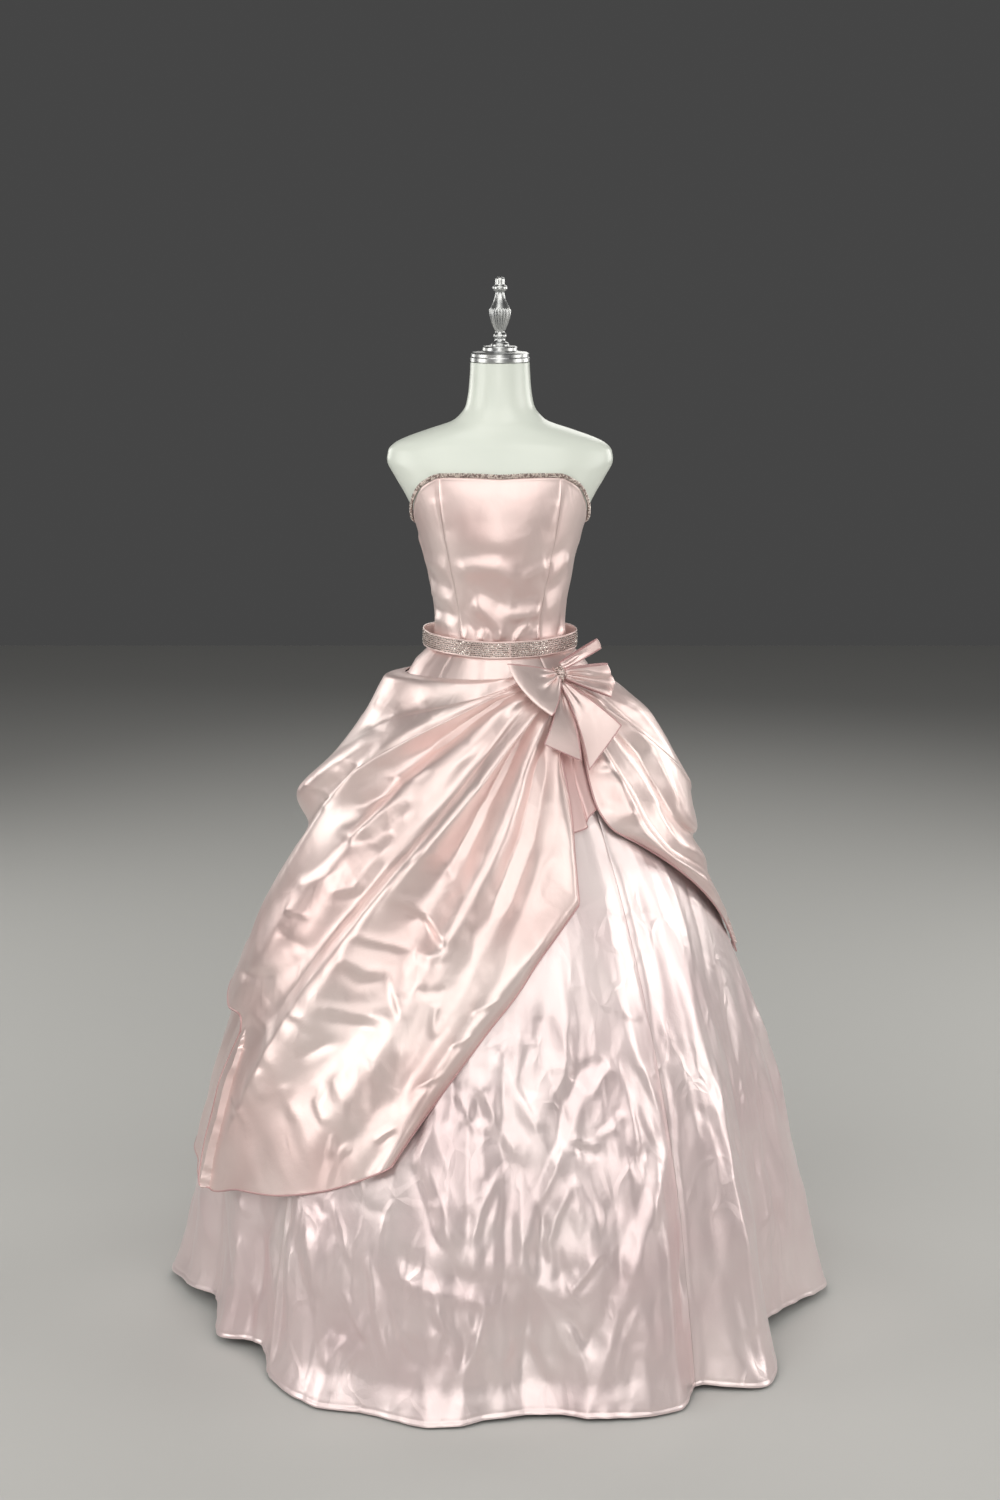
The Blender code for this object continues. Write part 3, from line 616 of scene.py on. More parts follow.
def creaseRows(table):
    # a table has its creases by kind: depth and width in mm, then the two numbers of each point
    return [(list(zip(row[2::2], row[3::2])), row[0], row[1], kind)
            for kind, rows in table.items() for row in rows]


def seenCreases(rows, radius):
    # turns creases read off the photograph's frame into angles and heights on the cloth
    return [([seenOn(px, py, radius) for px, py in points], depth, width, kind)
            for points, depth, width, kind in rows]


# the bodice

bodiceSizes = {
    "ease": 3.8 * mm,
    "shell": 1.44 * mm,  # the visible cloth; its solid is 1.8 mm thick
    "seam": 0.21 * mm,
    "waist": 1.152,
    "topEdge": ((0, 1.434), (30, 1.436), (50, 1.435), (61, 1.421), (70, 1.396), (80, 1.371),
                (90, 1.356), (110, 1.346), (180, 1.341)),
    "panels": (
        ("centre_front", -42, -52, 42, 52), ("side_front_left", 42, 52, 82, 84),
        ("side_back_left", 82, 84, 140, 136), ("back_left", 140, 136, 180, 180),
        ("back_right", 180, 180, 220, 224), ("side_back_right", 220, 224, 278, 276),
        ("side_front_right", 278, 276, 318, 308)),  # first seam at waist and top, second seam
    "step": 3.4 * mm,
    "rows": 84,
    "edgeRows": (0.006, 0.982, 0.991),  # more rows where the cloth turns over at an edge
    "seamDip": 1.1 * mm,
    "seamWide": 2.2 * mm,
    "topRoll": {"high": 0.5 * mm, "from": 3 * mm, "wide": 2 * mm},
    "deepest": -3.0 * mm,  # a hollow stops here, short of the form
    "creases": {"deep": 1.25, "wide": 1.4},
    "flat": {"radius": 0.15, "level": 1.28, "easeUp": 1.03},
}
bodiceFront = creaseRows({  # points in the photograph's frame
    "roll": (
        (4.2, 11, 452, 572, 474, 568, 497, 568, 513, 579, 522, 594),
        (3.2, 9, 549, 566, 534, 572, 518, 582), (4.4, 11, 470, 600, 486, 612, 500, 626, 512, 641),
        (3.2, 8, 545, 608, 526, 616, 508, 616, 494, 610)),
    "hollow": (
        (2, 9, 456, 556, 480, 553, 505, 556, 530, 556),
        (3, 9, 462, 588, 480, 590, 498, 600, 510, 612), (2.4, 7, 540, 594, 524, 600, 510, 600),
        (2.4, 10, 458, 604, 470, 622, 480, 640), (3, 9, 422, 570, 436, 578, 457, 592),
        (2.6, 7, 430, 606, 444, 611, 460, 618), (2.6, 8, 543, 592, 556, 584, 568, 572),
        (2.2, 8, 544, 562, 558, 552, 574, 540), (2, 6, 556, 642, 561, 626, 563, 608),
        (1.2, 13, 462, 516, 484, 522, 510, 520, 534, 516)),
    "pinch": (
        (2.4, 6, 513, 642, 522, 630, 532, 622),),
    "ridge": (
        (2.2, 8, 426, 560, 440, 566, 455, 574), (2.6, 8, 428, 590, 441, 598, 460, 603),
        (2, 7, 432, 618, 446, 622, 460, 630), (1.8, 9, 418, 532, 424, 552, 428, 570),
        (3, 9, 541, 580, 556, 572, 571, 556), (2, 8, 541, 612, 552, 606, 564, 594),
        (2.2, 5, 463, 641, 468, 634, 472, 627), (2.2, 5, 480, 642, 485, 635, 489, 628),
        (2.2, 5, 496, 643, 499, 637, 501, 630), (2, 5, 537, 642, 536, 634, 534, 626),
        (1.6, 6, 438, 496, 442, 512, 447, 532), (1.3, 6, 556, 498, 552, 514, 548, 532)),
})
bodiceBehind = creaseRows({  # angles and heights: plain pulls of the same kind
    "hollow": (
        (1.6, 9, 146, 1.3, 168, 1.292, 186, 1.297), (1.5, 8, 176, 1.262, 196, 1.25, 212, 1.254),
        (1.2, 7, 160, 1.196, 180, 1.19, 200, 1.195), (1.6, 9, 96, 1.256, 112, 1.244, 132, 1.246),
        (1.6, 9, 228, 1.262, 246, 1.25, 262, 1.256)),
    "ridge": (
        (1.2, 8, 150, 1.312, 172, 1.304, 192, 1.309), (1.7, 8, 140, 1.236, 158, 1.222, 172, 1.2),
        (1.6, 8, 220, 1.24, 205, 1.222, 190, 1.196), (1.3, 8, 100, 1.214, 118, 1.204, 136, 1.208),
        (1.2, 8, 230, 1.208, 248, 1.2, 264, 1.206), (1.1, 8, 84, 1.33, 96, 1.316, 112, 1.312),
        (1.1, 8, 276, 1.33, 262, 1.316, 248, 1.314)),
})
topLine = lineOf(bodiceSizes["topEdge"])


def topEdge(angle):
    return topLine(np.abs((np.asarray(angle, float) + 180) % 360 - 180))


def bodiceRadius(angle, height):
    return bodyRadius(angle, height) + bodiceSizes["ease"]


def makeBodice():
    creases = seenCreases(bodiceFront, bodiceRadius) + bodiceBehind
    waist, roll, flat = (bodiceSizes[k] for k in ("waist", "topRoll", "flat"))
    for name, fromWaist, fromTop, toWaist, toTop in bodiceSizes["panels"]:
        wide = math.radians(toTop - fromTop) * flat["radius"]
        across = evenly(0, 1, max(int(wide / bodiceSizes["step"]), 12))[:, None]
        rows = np.concatenate((evenly(0, 1, bodiceSizes["rows"]), bodiceSizes["edgeRows"]))
        share = np.unique(rows)[None, :]
        start = fromWaist + (fromTop - fromWaist) * share
        stop = toWaist + (toTop - toWaist) * share
        angle = start + (stop - start) * across
        height = waist + (topEdge(angle) - waist) * share
        radius = bodiceRadius(angle, height)
        inset = np.degrees(bodiceSizes["seam"] / radius) * (1 - 2 * across)
        fromSeam = np.minimum(across, 1 - across) * np.radians(stop - start) * radius
        dip = bodiceSizes["seamDip"] * bumpOf(fromSeam, 0, bodiceSizes["seamWide"])
        fromTopEdge = topEdge(angle) - height
        hem = roll["high"] * bumpOf(fromTopEdge, roll["from"], roll["wide"])
        lift = creaseLift(angle, height, creases, onBody, bodiceSizes["creases"])
        lift = np.maximum(lift * ease(-5 * mm, 7 * mm, fromSeam), bodiceSizes["deepest"])
        lift = lift * ease(-5 * mm, 14 * mm, fromTopEdge)
        points = around(angle + inset, radius + lift + hem - dip, height)
        piece = clothPiece("bodicePanel_" + name, points, gownSatin, bodiceSizes["shell"])
        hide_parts("bodice_" + name)
        middle = bodiceRadius((fromWaist + toWaist) / 2, flat["level"])
        flatTall = float(np.mean(topEdge(angle[:, -1]) - waist)) * flat["easeUp"]
    print("bodice made")


makeBodice()


# the beaded cord along the top edge

cordSizes = {
    "radius": 2.6 * mm,
    "gap": 0.6 * mm,
    "proud": 1.0 * mm,
    "bead": 1.4 * mm,
    "pitch": 2.75 * mm,
    "rings": (-74, -30, 14, 58, 102),  # where the rows of beads lie round the cord, in degrees
    "core": 2.3 * mm,
    "beadsOut": 2.7 * mm,
}


def cordLine(angle):
    edge = topEdge(angle)
    radius = bodiceRadius(angle, edge)
    slope = (topEdge(angle + 1) - topEdge(angle - 1)) / (radius * math.radians(2))
    height = edge + (cordSizes["radius"] + cordSizes["gap"]) * np.hypot(1, slope)
    skin = np.max([bodyRadius(angle, height + s * cordSizes["radius"]) for s in (-1, 0, 1)], axis=0)
    return np.maximum(radius + 0.2 * mm, skin + cordSizes["radius"] + cordSizes["gap"]), height


def makeCord():
    angle = fullTurn(360)
    radius, height = cordLine(angle)
    turn, core = np.radians(fullTurn(10)), cordSizes["core"]
    points = around(angle[:, None], radius[:, None] + cordSizes["proud"] + core * np.cos(turn),
                    height[:, None] + core * np.sin(turn))
    ground = addPiece("neckCordCore", points, gridQuads(360, 10, True, True).tolist(), trimGround)
    fine = fullTurn(3600)
    line = around(fine, *cordLine(fine))
    steps = np.linalg.norm(np.diff(np.concatenate((line, line[:1])), axis=0), axis=1)
    travelled = np.concatenate(((0,), np.cumsum(steps)))
    count = int(travelled[-1] / cordSizes["pitch"])
    places = []
    for row, ring in enumerate(cordSizes["rings"]):
        at = (np.arange(count) + 0.5 * (row % 2)) * travelled[-1] / count
        angles = np.interp(at, travelled, np.append(fine, 360))
        radius, height = cordLine(angles)
        out, up = math.cos(math.radians(ring)), math.sin(math.radians(ring))
        places.append(around(angles, radius + cordSizes["proud"] + cordSizes["beadsOut"] * out,
                             height + cordSizes["beadsOut"] * up))
    places = np.concatenate(places)
    axes = np.repeat(np.eye(3)[None] * cordSizes["bead"], len(places), 0)
    beads = manyOf("neckCordBeads", *ballUnit(6, 4), places, axes, cordBeads)
    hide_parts("neckline_cord")
    print("neck cord beaded:", len(places))


makeCord()


# the belt: a ribbon band that stands a little off the waist, set with rows of glass stones

beltSizes = {
    "wide": 28 * mm,
    "thick": 1.32 * mm,
    "oval": (0.1290, 0.1032, 0.1030),
    "heights": ((-90, 1.1640), (0, 1.1545), (90, 1.1610), (180, 1.1655), (270, 1.1640)),
    "rows": 7,
    "rowPitch": 3.35 * mm,
    "stonePitch": 3.2 * mm,
    "stone": 1.45 * mm,
    "join": {"angle": 9, "wide": 0.9},  # no stones where the ends of the band meet
    "shares": (0, 0.02, 0.05, 0.09, 0.13, 0.3, 0.5, 0.7, 0.87, 0.91, 0.95, 0.98, 1.0),
    "middle": 6,  # the share in the middle of the band
    "roll": {"high": 0.5 * mm, "from": 1.2 * mm, "wide": 0.9 * mm},
    "stoneSides": 8,
    "stoneRings": ((0.98, -0.2), (1.0, 0.1), (0.55, 0.62)),  # how far out and up its edges lie
    "stoneTilt": 0.07,
}
beltHeight = lineOf(beltSizes["heights"])


def beltRadius(angle):
    return ovalRadius(angle, *beltSizes["oval"])


def beltMiddle(angle):
    # the height of the band's middle line, which sags a little between its stitches
    sag = 0.2 * mm * np.sin(np.radians(angle * 7)) + 0.16 * mm * np.sin(np.radians(angle * 17 + 40))
    return beltHeight((angle + 90) % 360 - 90) + sag


def makeBelt():
    angle, share = fullTurn(240)[:, None], np.array(beltSizes["shares"])[None, :]
    wide, roll = beltSizes["wide"], beltSizes["roll"]
    fromEdge = np.minimum(share, 1 - share) * wide
    rolled = roll["high"] * (bumpOf(fromEdge, roll["from"], roll["wide"]) - 1)
    points = around(angle, beltRadius(angle) + rolled, beltMiddle(angle) + wide * (share - 0.5))
    band = clothPiece("beltRibbon", points, ribbonSatin, beltSizes["thick"], closed=True)
    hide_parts("belt")
    line = points[:, beltSizes["middle"]]
    length = float(np.sum(np.linalg.norm(line - np.roll(line, -1, 0), axis=1)))
    sides = beltSizes["stoneSides"]
    turn = np.radians(fullTurn(sides) + 180 / sides)
    unit = np.array([(out * math.cos(a), out * math.sin(a), up)
                     for out, up in beltSizes["stoneRings"] for a in turn])
    faces = [(k, (k + 1) % sides, sides + (k + 1) % sides, sides + k) for k in range(sides)]
    faces += [tuple(f + sides for f in face) for face in faces]
    faces.append(tuple(range(2 * sides, 3 * sides)))
    count = int(length / beltSizes["stonePitch"])
    places, axes = [], []
    luck = np.random.default_rng(7)
    for row in range(beltSizes["rows"]):
        up = (row - (beltSizes["rows"] - 1) / 2) * beltSizes["rowPitch"]
        angles = (np.arange(count) + 0.5 * (row % 2)) * 360 / count
        fromJoin = np.abs((angles - beltSizes["join"]["angle"] + 180) % 360 - 180)
        angles = angles[fromJoin >= beltSizes["join"]["wide"]]
        places.append(around(angles, beltRadius(angles) - 0.2 * mm, beltMiddle(angles) + up))
        tilt = luck.normal(0, beltSizes["stoneTilt"], (len(angles), 3))
        out = unitOf(around(angles, 1.0, 0 * angles) + tilt)
        level = unitOf(np.cross((0, 0, 1.0), out))
        axes.append(np.stack((level, np.cross(out, level), out), 1) * beltSizes["stone"])
    stones = manyOf("beltStones", unit, faces, np.concatenate(places), np.concatenate(axes),
                    beltStones, 15)
    print("belt set with stones:", len(stones.data.polygons) // len(faces))


makeBelt()


# the skirt: a smooth flare plus a lift off it, fold by fold

skirtSizes = {
    "flare": (
        (1.1517, 0.1118, 0.0908, 0.0868), (1.144, 0.1240, 0.0975, 0.0945),
        (1.120, 0.1440, 0.118, 0.120), (1.080, 0.1660, 0.150, 0.158), (1.000, 0.2140, 0.205, 0.215),
        (0.900, 0.2700, 0.262, 0.280), (0.750, 0.3430, 0.335, 0.355), (0.600, 0.4050, 0.395, 0.420),
        (0.450, 0.4600, 0.445, 0.470), (0.300, 0.5030, 0.485, 0.510), (0.150, 0.5400, 0.512, 0.545),
        (0.006, 0.5740, 0.537, 0.570)),  # height, half width, depth to the front and to the back
    "waist": 1.1517,
    "foldTop": 1.02,
    "foldGrowth": 1.7,
    "shell": 1.53 * mm,  # the visible cloth; its solid is 1.8 mm thick
    "apart": 2.7 * mm,  # from one layer's outer face to the next one's
    "seam": 0.21 * mm,
    "seamDip": 1.2 * mm,
    "seamWide": 2.4 * mm,
    "hemRoll": 1.0 * mm,
    "hemWide": 6.5 * mm,
    "yoke": 1.062,
    "nearHem": (0.0, 1.5, 3.0, 4.5, 6.0, 7.5, 9.0),  # rows of the rolled hem, mm above the edge
    "flat": {"radius": 0.62, "tall": 1.30, "share": 0.66},  # a gore narrows up to the waist
}
hemFolds = (  # angle, how far the hem stands out and its height, both in mm
    (-97, 14, 14), (-86, -22, 22), (-76, -68, 30), (-65, -42, 12), (-55, -74, 22), (-46, -30, 8),
    (-33, 14, 5), (-22, 6, 4), (-12, 22, 4), (5, -20, 8), (16, 4, 7), (30, 26, 4), (37, -26, 10),
    (47, 34, 5), (66, -76, 26), (77, -48, 20), (90, 6, 12), (101, -34, 14), (113, 18, 6),
    (127, -30, 12), (140, 20, 6), (152, -26, 12), (166, 16, 5), (180, -22, 10), (194, 20, 5),
    (208, -30, 12), (222, 18, 6), (236, -28, 12), (249, 12, 7), (256, -18, 12))
gores = (  # name, from, to, columns, height where the fine rows stop, rows below and above it
    ("front", -46, 37, 193, 0.62, 141, 24), ("side_left", 37, 127, 177, 0.90, 171, 14),
    ("back_left", 127, 180, 71, 0.50, 61, 20), ("back_right", 180, 236, 71, 0.50, 61, 20),
    ("side_right", 236, 314, 141, 0.42, 101, 26))
flareRadius = ovalSection(skirtSizes["flare"])
hemOut = lineOf([(a, out) for a, out, _ in hemFolds], mm, turn=True)
hemHeight = lineOf([(a, high) for a, _, high in hemFolds], mm, turn=True)


def smoothUnderskirt(angle, height):
    depth = np.clip((skirtSizes["foldTop"] - height) / skirtSizes["foldTop"], 0, 1)
    return flareRadius(angle, height) + hemOut(angle) * depth ** skirtSizes["foldGrowth"]


underskirtSeen = creaseRows({  # points in the photograph's frame
    "pinch": (
        (2.6, 8, 453, 1088, 466, 1110, 480, 1140), (2.4, 6, 571, 1137, 585, 1144, 603, 1148),
        (3.4, 8, 565, 1140, 553, 1172, 538, 1207), (3.6, 7, 567, 1297, 584, 1274, 603, 1249),
        (2.4, 8, 431, 1279, 441, 1314, 451, 1350), (3, 8, 333, 1196, 340, 1232, 352, 1266),
        (4.4, 9, 368, 1250, 374, 1282, 377, 1329, 387, 1380),
        (2, 6, 236, 1194, 241, 1206, 248, 1220),
        (5, 10, 710, 1042, 721, 1110, 732, 1180, 758, 1322, 770, 1382),
        (2.2, 6, 756, 1230, 764, 1218, 773, 1205), (1.8, 7, 612, 1000, 626, 1014, 644, 1020),
        (2.2, 7, 500, 1040, 512, 1066, 520, 1090), (2.4, 6, 610, 1060, 600, 1082, 590, 1100),
        (2.4, 6, 626, 1110, 612, 1128, 596, 1140), (2.4, 7, 640, 1060, 652, 1096, 662, 1130),
        (2.6, 7, 438, 1190, 450, 1218, 470, 1246), (2.6, 7, 470, 1250, 482, 1210, 500, 1168),
        (2.6, 7, 546, 1250, 556, 1216, 572, 1180), (2.6, 7, 430, 1300, 444, 1330, 462, 1360),
        (2.8, 7, 488, 1300, 478, 1340, 460, 1386), (2.6, 7, 566, 1320, 584, 1356, 590, 1392),
        (2.6, 7, 640, 1300, 626, 1336, 618, 1380), (2.6, 7, 340, 1290, 352, 1320, 368, 1352),
        (2.4, 7, 330, 1400, 340, 1372, 356, 1350), (2.6, 7, 390, 1300, 400, 1340, 414, 1372)),
    "ridge": (
        (5, 12, 474, 1066, 497, 1125, 515, 1150, 531, 1170), (2.2, 7, 527, 1092, 545, 1130),
        (4, 10, 598, 1060, 577, 1110, 567, 1156),
        (4, 10, 605, 1048, 622, 1090, 635, 1125, 641, 1172),
        (3, 9, 573, 1172, 588, 1204, 600, 1238),
        (3.6, 12, 538, 1164, 529, 1245, 517, 1304, 496, 1420),
        (2.6, 8, 501, 1166, 499, 1200, 496, 1238),
        (3.2, 9, 423, 1155, 436, 1190, 447, 1228, 463, 1272),
        (2.2, 8, 388, 1274, 428, 1290, 457, 1299, 490, 1306, 522, 1300),
        (1.8, 8, 518, 1264, 540, 1284, 562, 1298, 600, 1290),
        (4.4, 12, 627, 1272, 622, 1305, 612, 1345, 590, 1412),
        (4.4, 12, 665, 1124, 652, 1204, 634, 1263, 616, 1314),
        (2.6, 9, 411, 1364, 420, 1390, 430, 1420), (2.8, 9, 456, 1290, 470, 1328, 486, 1369),
        (3, 10, 202, 1182, 205, 1216, 208, 1254),
        (5, 11, 268, 1222, 274, 1260, 274, 1300, 268, 1354),
        (3, 10, 304, 1200, 312, 1258, 322, 1317), (2.6, 8, 432, 1197, 442, 1220, 456, 1248),
        (2.6, 8, 318, 1373, 336, 1352, 355, 1331), (3, 9, 232, 1228, 242, 1262, 255, 1308),
        (1.6, 8, 398, 1330, 420, 1338, 446, 1336), (2.4, 9, 520, 1330, 540, 1350, 560, 1390),
        (3, 10, 664, 1290, 668, 1330, 672, 1384), (3, 8, 655, 850, 672, 890, 684, 927, 695, 984),
        (3.4, 12, 604, 850, 622, 900, 636, 960, 648, 1030),
        (3.4, 11, 668, 900, 684, 960, 694, 1040, 706, 1140),
        (3, 10, 735, 960, 752, 1024, 768, 1090, 782, 1150),
        (2.4, 9, 560, 960, 566, 1000, 566, 1044), (2.6, 8, 436, 690, 448, 676, 462, 667, 476, 668)),
    "hollow": (
        (3.6, 9, 466, 1078, 486, 1130, 503, 1158), (5.5, 10, 587, 1058, 564, 1113, 554, 1160),
        (3, 9, 594, 1050, 610, 1092, 622, 1130), (2, 6, 575, 1150, 590, 1155, 607, 1156),
        (3, 11, 551, 1164, 541, 1245, 530, 1310, 516, 1400),
        (2.4, 8, 470, 1202, 465, 1236, 462, 1274), (2.6, 9, 412, 1160, 424, 1196, 436, 1232),
        (2, 7, 482, 1172, 486, 1198, 489, 1226),
        (3.4, 14, 380, 1250, 406, 1262, 428, 1270, 457, 1278, 490, 1286, 530, 1278),
        (3.2, 13, 519, 1240, 540, 1258, 562, 1272, 604, 1262),
        (3.4, 11, 614, 1276, 606, 1320, 594, 1366), (3.4, 11, 650, 1130, 638, 1200, 620, 1258),
        (2.8, 8, 563, 1308, 576, 1330, 588, 1350, 600, 1320),
        (2.6, 9, 460, 1293, 447, 1340, 434, 1392),
        (5, 11, 221, 1190, 225, 1236, 227, 1284, 229, 1338),
        (3.8, 10, 256, 1222, 261, 1262, 260, 1310),
        (4, 11, 290, 1198, 296, 1258, 306, 1317, 310, 1400),
        (1.8, 5, 315, 1198, 320, 1208, 327, 1219),
        (2.4, 8, 313, 1322, 332, 1335, 352, 1343, 377, 1343),
        (1.8, 7, 350, 1196, 368, 1210, 392, 1216), (2.6, 9, 640, 1330, 636, 1360, 632, 1398),
        (2.8, 8, 682, 870, 692, 900, 700, 930, 710, 984),
        (3.4, 11, 630, 868, 650, 930, 664, 990, 672, 1060),
        (6, 13, 676, 1066, 681, 1150, 683, 1245, 687, 1390),
        (4, 11, 693, 1042, 702, 1130, 712, 1216, 720, 1292),
        (3.2, 9, 722, 1072, 736, 1144, 750, 1220),
        (5, 11, 745, 1036, 768, 1160, 788, 1240, 796, 1292),
        (2.2, 8, 540, 1010, 548, 1040, 560, 1066), (2.2, 7, 426, 664, 432, 676, 434, 690),
        (2.2, 7, 470, 686, 484, 676, 500, 674), (1.8, 6, 452, 656, 468, 660, 486, 664)),
    "step": (
        (3, 9, 494, 1044, 520, 1092, 543, 1133),),
})
underskirtBehind = creaseRows({  # angles and heights: the same sort of folds at the hem behind
    "ridge": (
        (4, 12, 134, 0.3, 136, 0.16, 134, 0.02), (4.2, 12, 186, 0.28, 188, 0.15, 190, 0.02),
        (4, 12, 213, 0.27, 215, 0.13, 218, 0.02), (3.6, 11, 241, 0.25, 243, 0.13, 242, 0.02),
        (4, 12, 106, 0.52, 108, 0.34, 105, 0.1), (3.6, 11, 262, 0.22, 263, 0.12, 266, 0.02)),
    "hollow": (
        (4.2, 12, 146, 0.33, 145, 0.18, 149, 0.02), (4, 12, 170, 0.31, 172, 0.17, 170, 0.02),
        (3.4, 10, 199, 0.29, 201, 0.14, 198, 0.03), (3.6, 11, 228, 0.27, 229, 0.14, 226, 0.03),
        (2.6, 8, 192, 0.17, 199, 0.13, 207, 0.15), (4.2, 12, 117, 0.48, 116, 0.3, 119, 0.06),
        (3.4, 10, 252, 0.22, 254, 0.12, 250, 0.03)),
    "pinch": (
        (3.4, 10, 158, 0.24, 160, 0.14, 157, 0.03), (2.6, 8, 150, 0.12, 158, 0.09, 167, 0.11),
        (2.6, 8, 108, 0.22, 116, 0.18, 124, 0.2)),
})
underskirtCreases = seenCreases(underskirtSeen, smoothUnderskirt) + underskirtBehind
print("underskirt creases placed:", len(underskirtCreases))


def fromTable(u, v, count, seed):
    # the shares across a cell and the random numbers at its four corners
    table = np.random.default_rng(seed).uniform(-1, 1, (count, count))
    i, j = np.floor(u).astype(int), np.floor(v).astype(int)
    corners = ((0, 0), (1, 0), (0, 1), (1, 1))
    return u - i, v - j, *(table[(i + right) % count, (j + up) % count] for right, up in corners)


def softNoise(x, y, size, seed):
    # smooth random swells between -1 and 1, about one size apart
    s, t, a, b, c, d = fromTable(x / size + 400, y / size + 400, 97, seed)
    s, t = ease(0, 1, s), ease(0, 1, t)
    return (a + (b - a) * s) * (1 - t) + (c + (d - c) * s) * t


crumpleSizes = {
    "high": 9 * mm,
    "big": (22 * mm, 70.4 * mm),  # the facets' width and height
    "small": (11 * mm, 37.4 * mm),
    "patch": 66 * mm,  # the small ones come and go in patches of this size
    "shares": (0.8, 0.4),
    "bend": 0.14,
}


def facets(x, y, wide, tall, seed):
    # flat facets between crisp lines that lean to the left, to the right and across
    bend = crumpleSizes["bend"] * wide
    x = x + bend * softNoise(x, y, wide * 2.1, seed + 1)
    y = y + bend * softNoise(x, y, wide * 2.6, seed + 2)
    u, v = (x / wide + y / tall) / 2 + 300, (y / tall - x / wide) / 2 + 300
    s, t, low, right, left, high = fromTable(u, v, 89, seed)
    return np.where(s > t, low + (right - low) * s + (high - right) * t,
                    low + (left - low) * t + (high - left) * s)


def crumpled(x, y, seed, lean=0.0):
    # what stiff satin keeps of its packing: long leaning facets, smaller ones in patches, and calm
    # stretches between them; lean turns them with the folds
    turn = math.radians(lean)
    along, down = x * math.cos(turn) + y * math.sin(turn), y * math.cos(turn) - x * math.sin(turn)
    big = facets(along, down, *crumpleSizes["big"], seed + 3)
    small = facets(along, down, *crumpleSizes["small"], seed + 5)
    patch = ease(-0.2, 0.5, softNoise(along, down, crumpleSizes["patch"], seed + 7))
    most, some = crumpleSizes["shares"]
    return crumpleSizes["high"] * (most * big + some * small * patch)


# low down the front the cloth breaks over a soft ledge and hangs in below it
ledgeDepth = lineOf(((0.0, 0.0), (0.025, -8.0), (0.06, -16.0), (0.14, -11.0), (0.215, -0.5),
                     (0.25, 2.5), (0.31, 1.5), (0.42, 0.0), (1.2, 0.0)), mm)
ledgeShare = lineOf(((-110, 0.3), (-84, 0.7), (-60, 0.3), (-38, 0.7), (-18, 1.0), (6, 1.1),
                     (18, 0.9), (30, 0.1), (48, 0.5), (66, 0.2), (90, 0.4), (120, 0.2), (150, 0.5),
                     (182, 0.2), (214, 0.5)), turn=True)


def underskirtLift(angle, height):
    # the crumple runs by the distance round a middling cone, so that it meets itself behind
    x, y = np.radians((angle + 150) % 360) * 0.36, height * 1.08
    soft = crumpled(x, y, 11) * (0.12 + 0.88 * ease(0.72, 0.42, height))
    ledge = ledgeDepth(height) * ledgeShare(angle)
    return (creaseLift(angle, height, underskirtCreases) + ledge
            + soft * ease(0, 0.12, 1.10 - height))


def hemShape(above):
    # a narrow rolled hem with its line of stitches, by the distance above the cut edge
    share = above / skirtSizes["hemWide"]
    return skirtSizes["hemRoll"] * bumpOf(share, 0.45, 0.36) - 0.55 * mm * bumpOf(share, 1.15, 0.2)


def makeUnderskirt():
    nearHem, top = np.array(skirtSizes["nearHem"]) * mm, skirtSizes["waist"]
    for name, start, stop, columns, turn, below, over in gores:
        angle = evenly(start, stop, columns)[:, None]
        low = hemHeight(angle)
        rows = [low + h for h in nearHem[:-1]]
        fine = low + nearHem[-1]
        rows += [fine + (turn - fine) * s for s in evenly(0, 1, below - 6)]
        rows += [turn + (top - turn) * s + 0 * low for s in evenly(0, 1, over + 1)[1:]]
        height = np.concatenate(rows if len(rows) % 2 else rows[:-2] + rows[-1:], 1)
        radius = smoothUnderskirt(angle, height)
        fromSeam = np.minimum(angle - start, stop - angle) * math.radians(1) * radius
        calm = ease(-2 * mm, 14 * mm, fromSeam)
        radius = radius + underskirtLift(angle + 0 * height, height) * calm + hemShape(height - low)
        radius = radius - skirtSizes["seamDip"] * bumpOf(fromSeam, 0, skirtSizes["seamWide"])
        inset = np.degrees(skirtSizes["seam"] / radius) * ((angle == start) * 1.0 - (angle == stop))
        points = around(angle + inset, radius, height)
        piece = clothPiece("underskirtGore_" + name, points, skirtSatin, skirtSizes["shell"],
                           lean=True)
        # above the overskirt's tucked edges the skirt's own yoke is cut from the gown's satin
        piece.data.materials.append(gownSatin)
        for face in piece.data.polygons:
            face.material_index = int(face.center.z > skirtSizes["yoke"])
        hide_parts("underskirt_" + name)
    print("underskirt made")


makeUnderskirt()


# the overskirt's back panel

backSizes = {
    "folds": ((98, 640, 4), (112, 560, 12), (126, 470, 28), (140, 400, 8), (154, 350, 48),
              (167, 318, 9), (180, 296, 58), (193, 288, 9), (206, 280, 50), (220, 274, 8),
              (234, 268, 38), (248, 262, 8), (262, 256, 26), (275, 252, 8), (288, 250, 12)),
    "top": 1.098,
    "full": 0.45,
    "liftTop": 2.9 * mm,
    "edge": 3,
    "hemClear": 20 * mm,
    "standOff": 12 * mm,
    "columns": 223,
    "rows": 113,
    "crumple": 0.35,  # its share of the underskirt's crumple
    "flat": (1.85, 0.98),
    "flatArea": 1.28,
}
backFirst, backLast = backSizes["folds"][0][0], backSizes["folds"][-1][0]
backHem = lineOf([(a, hem) for a, hem, _ in backSizes["folds"]], mm)
backLift = lineOf([(a, lift) for a, _, lift in backSizes["folds"]], mm)
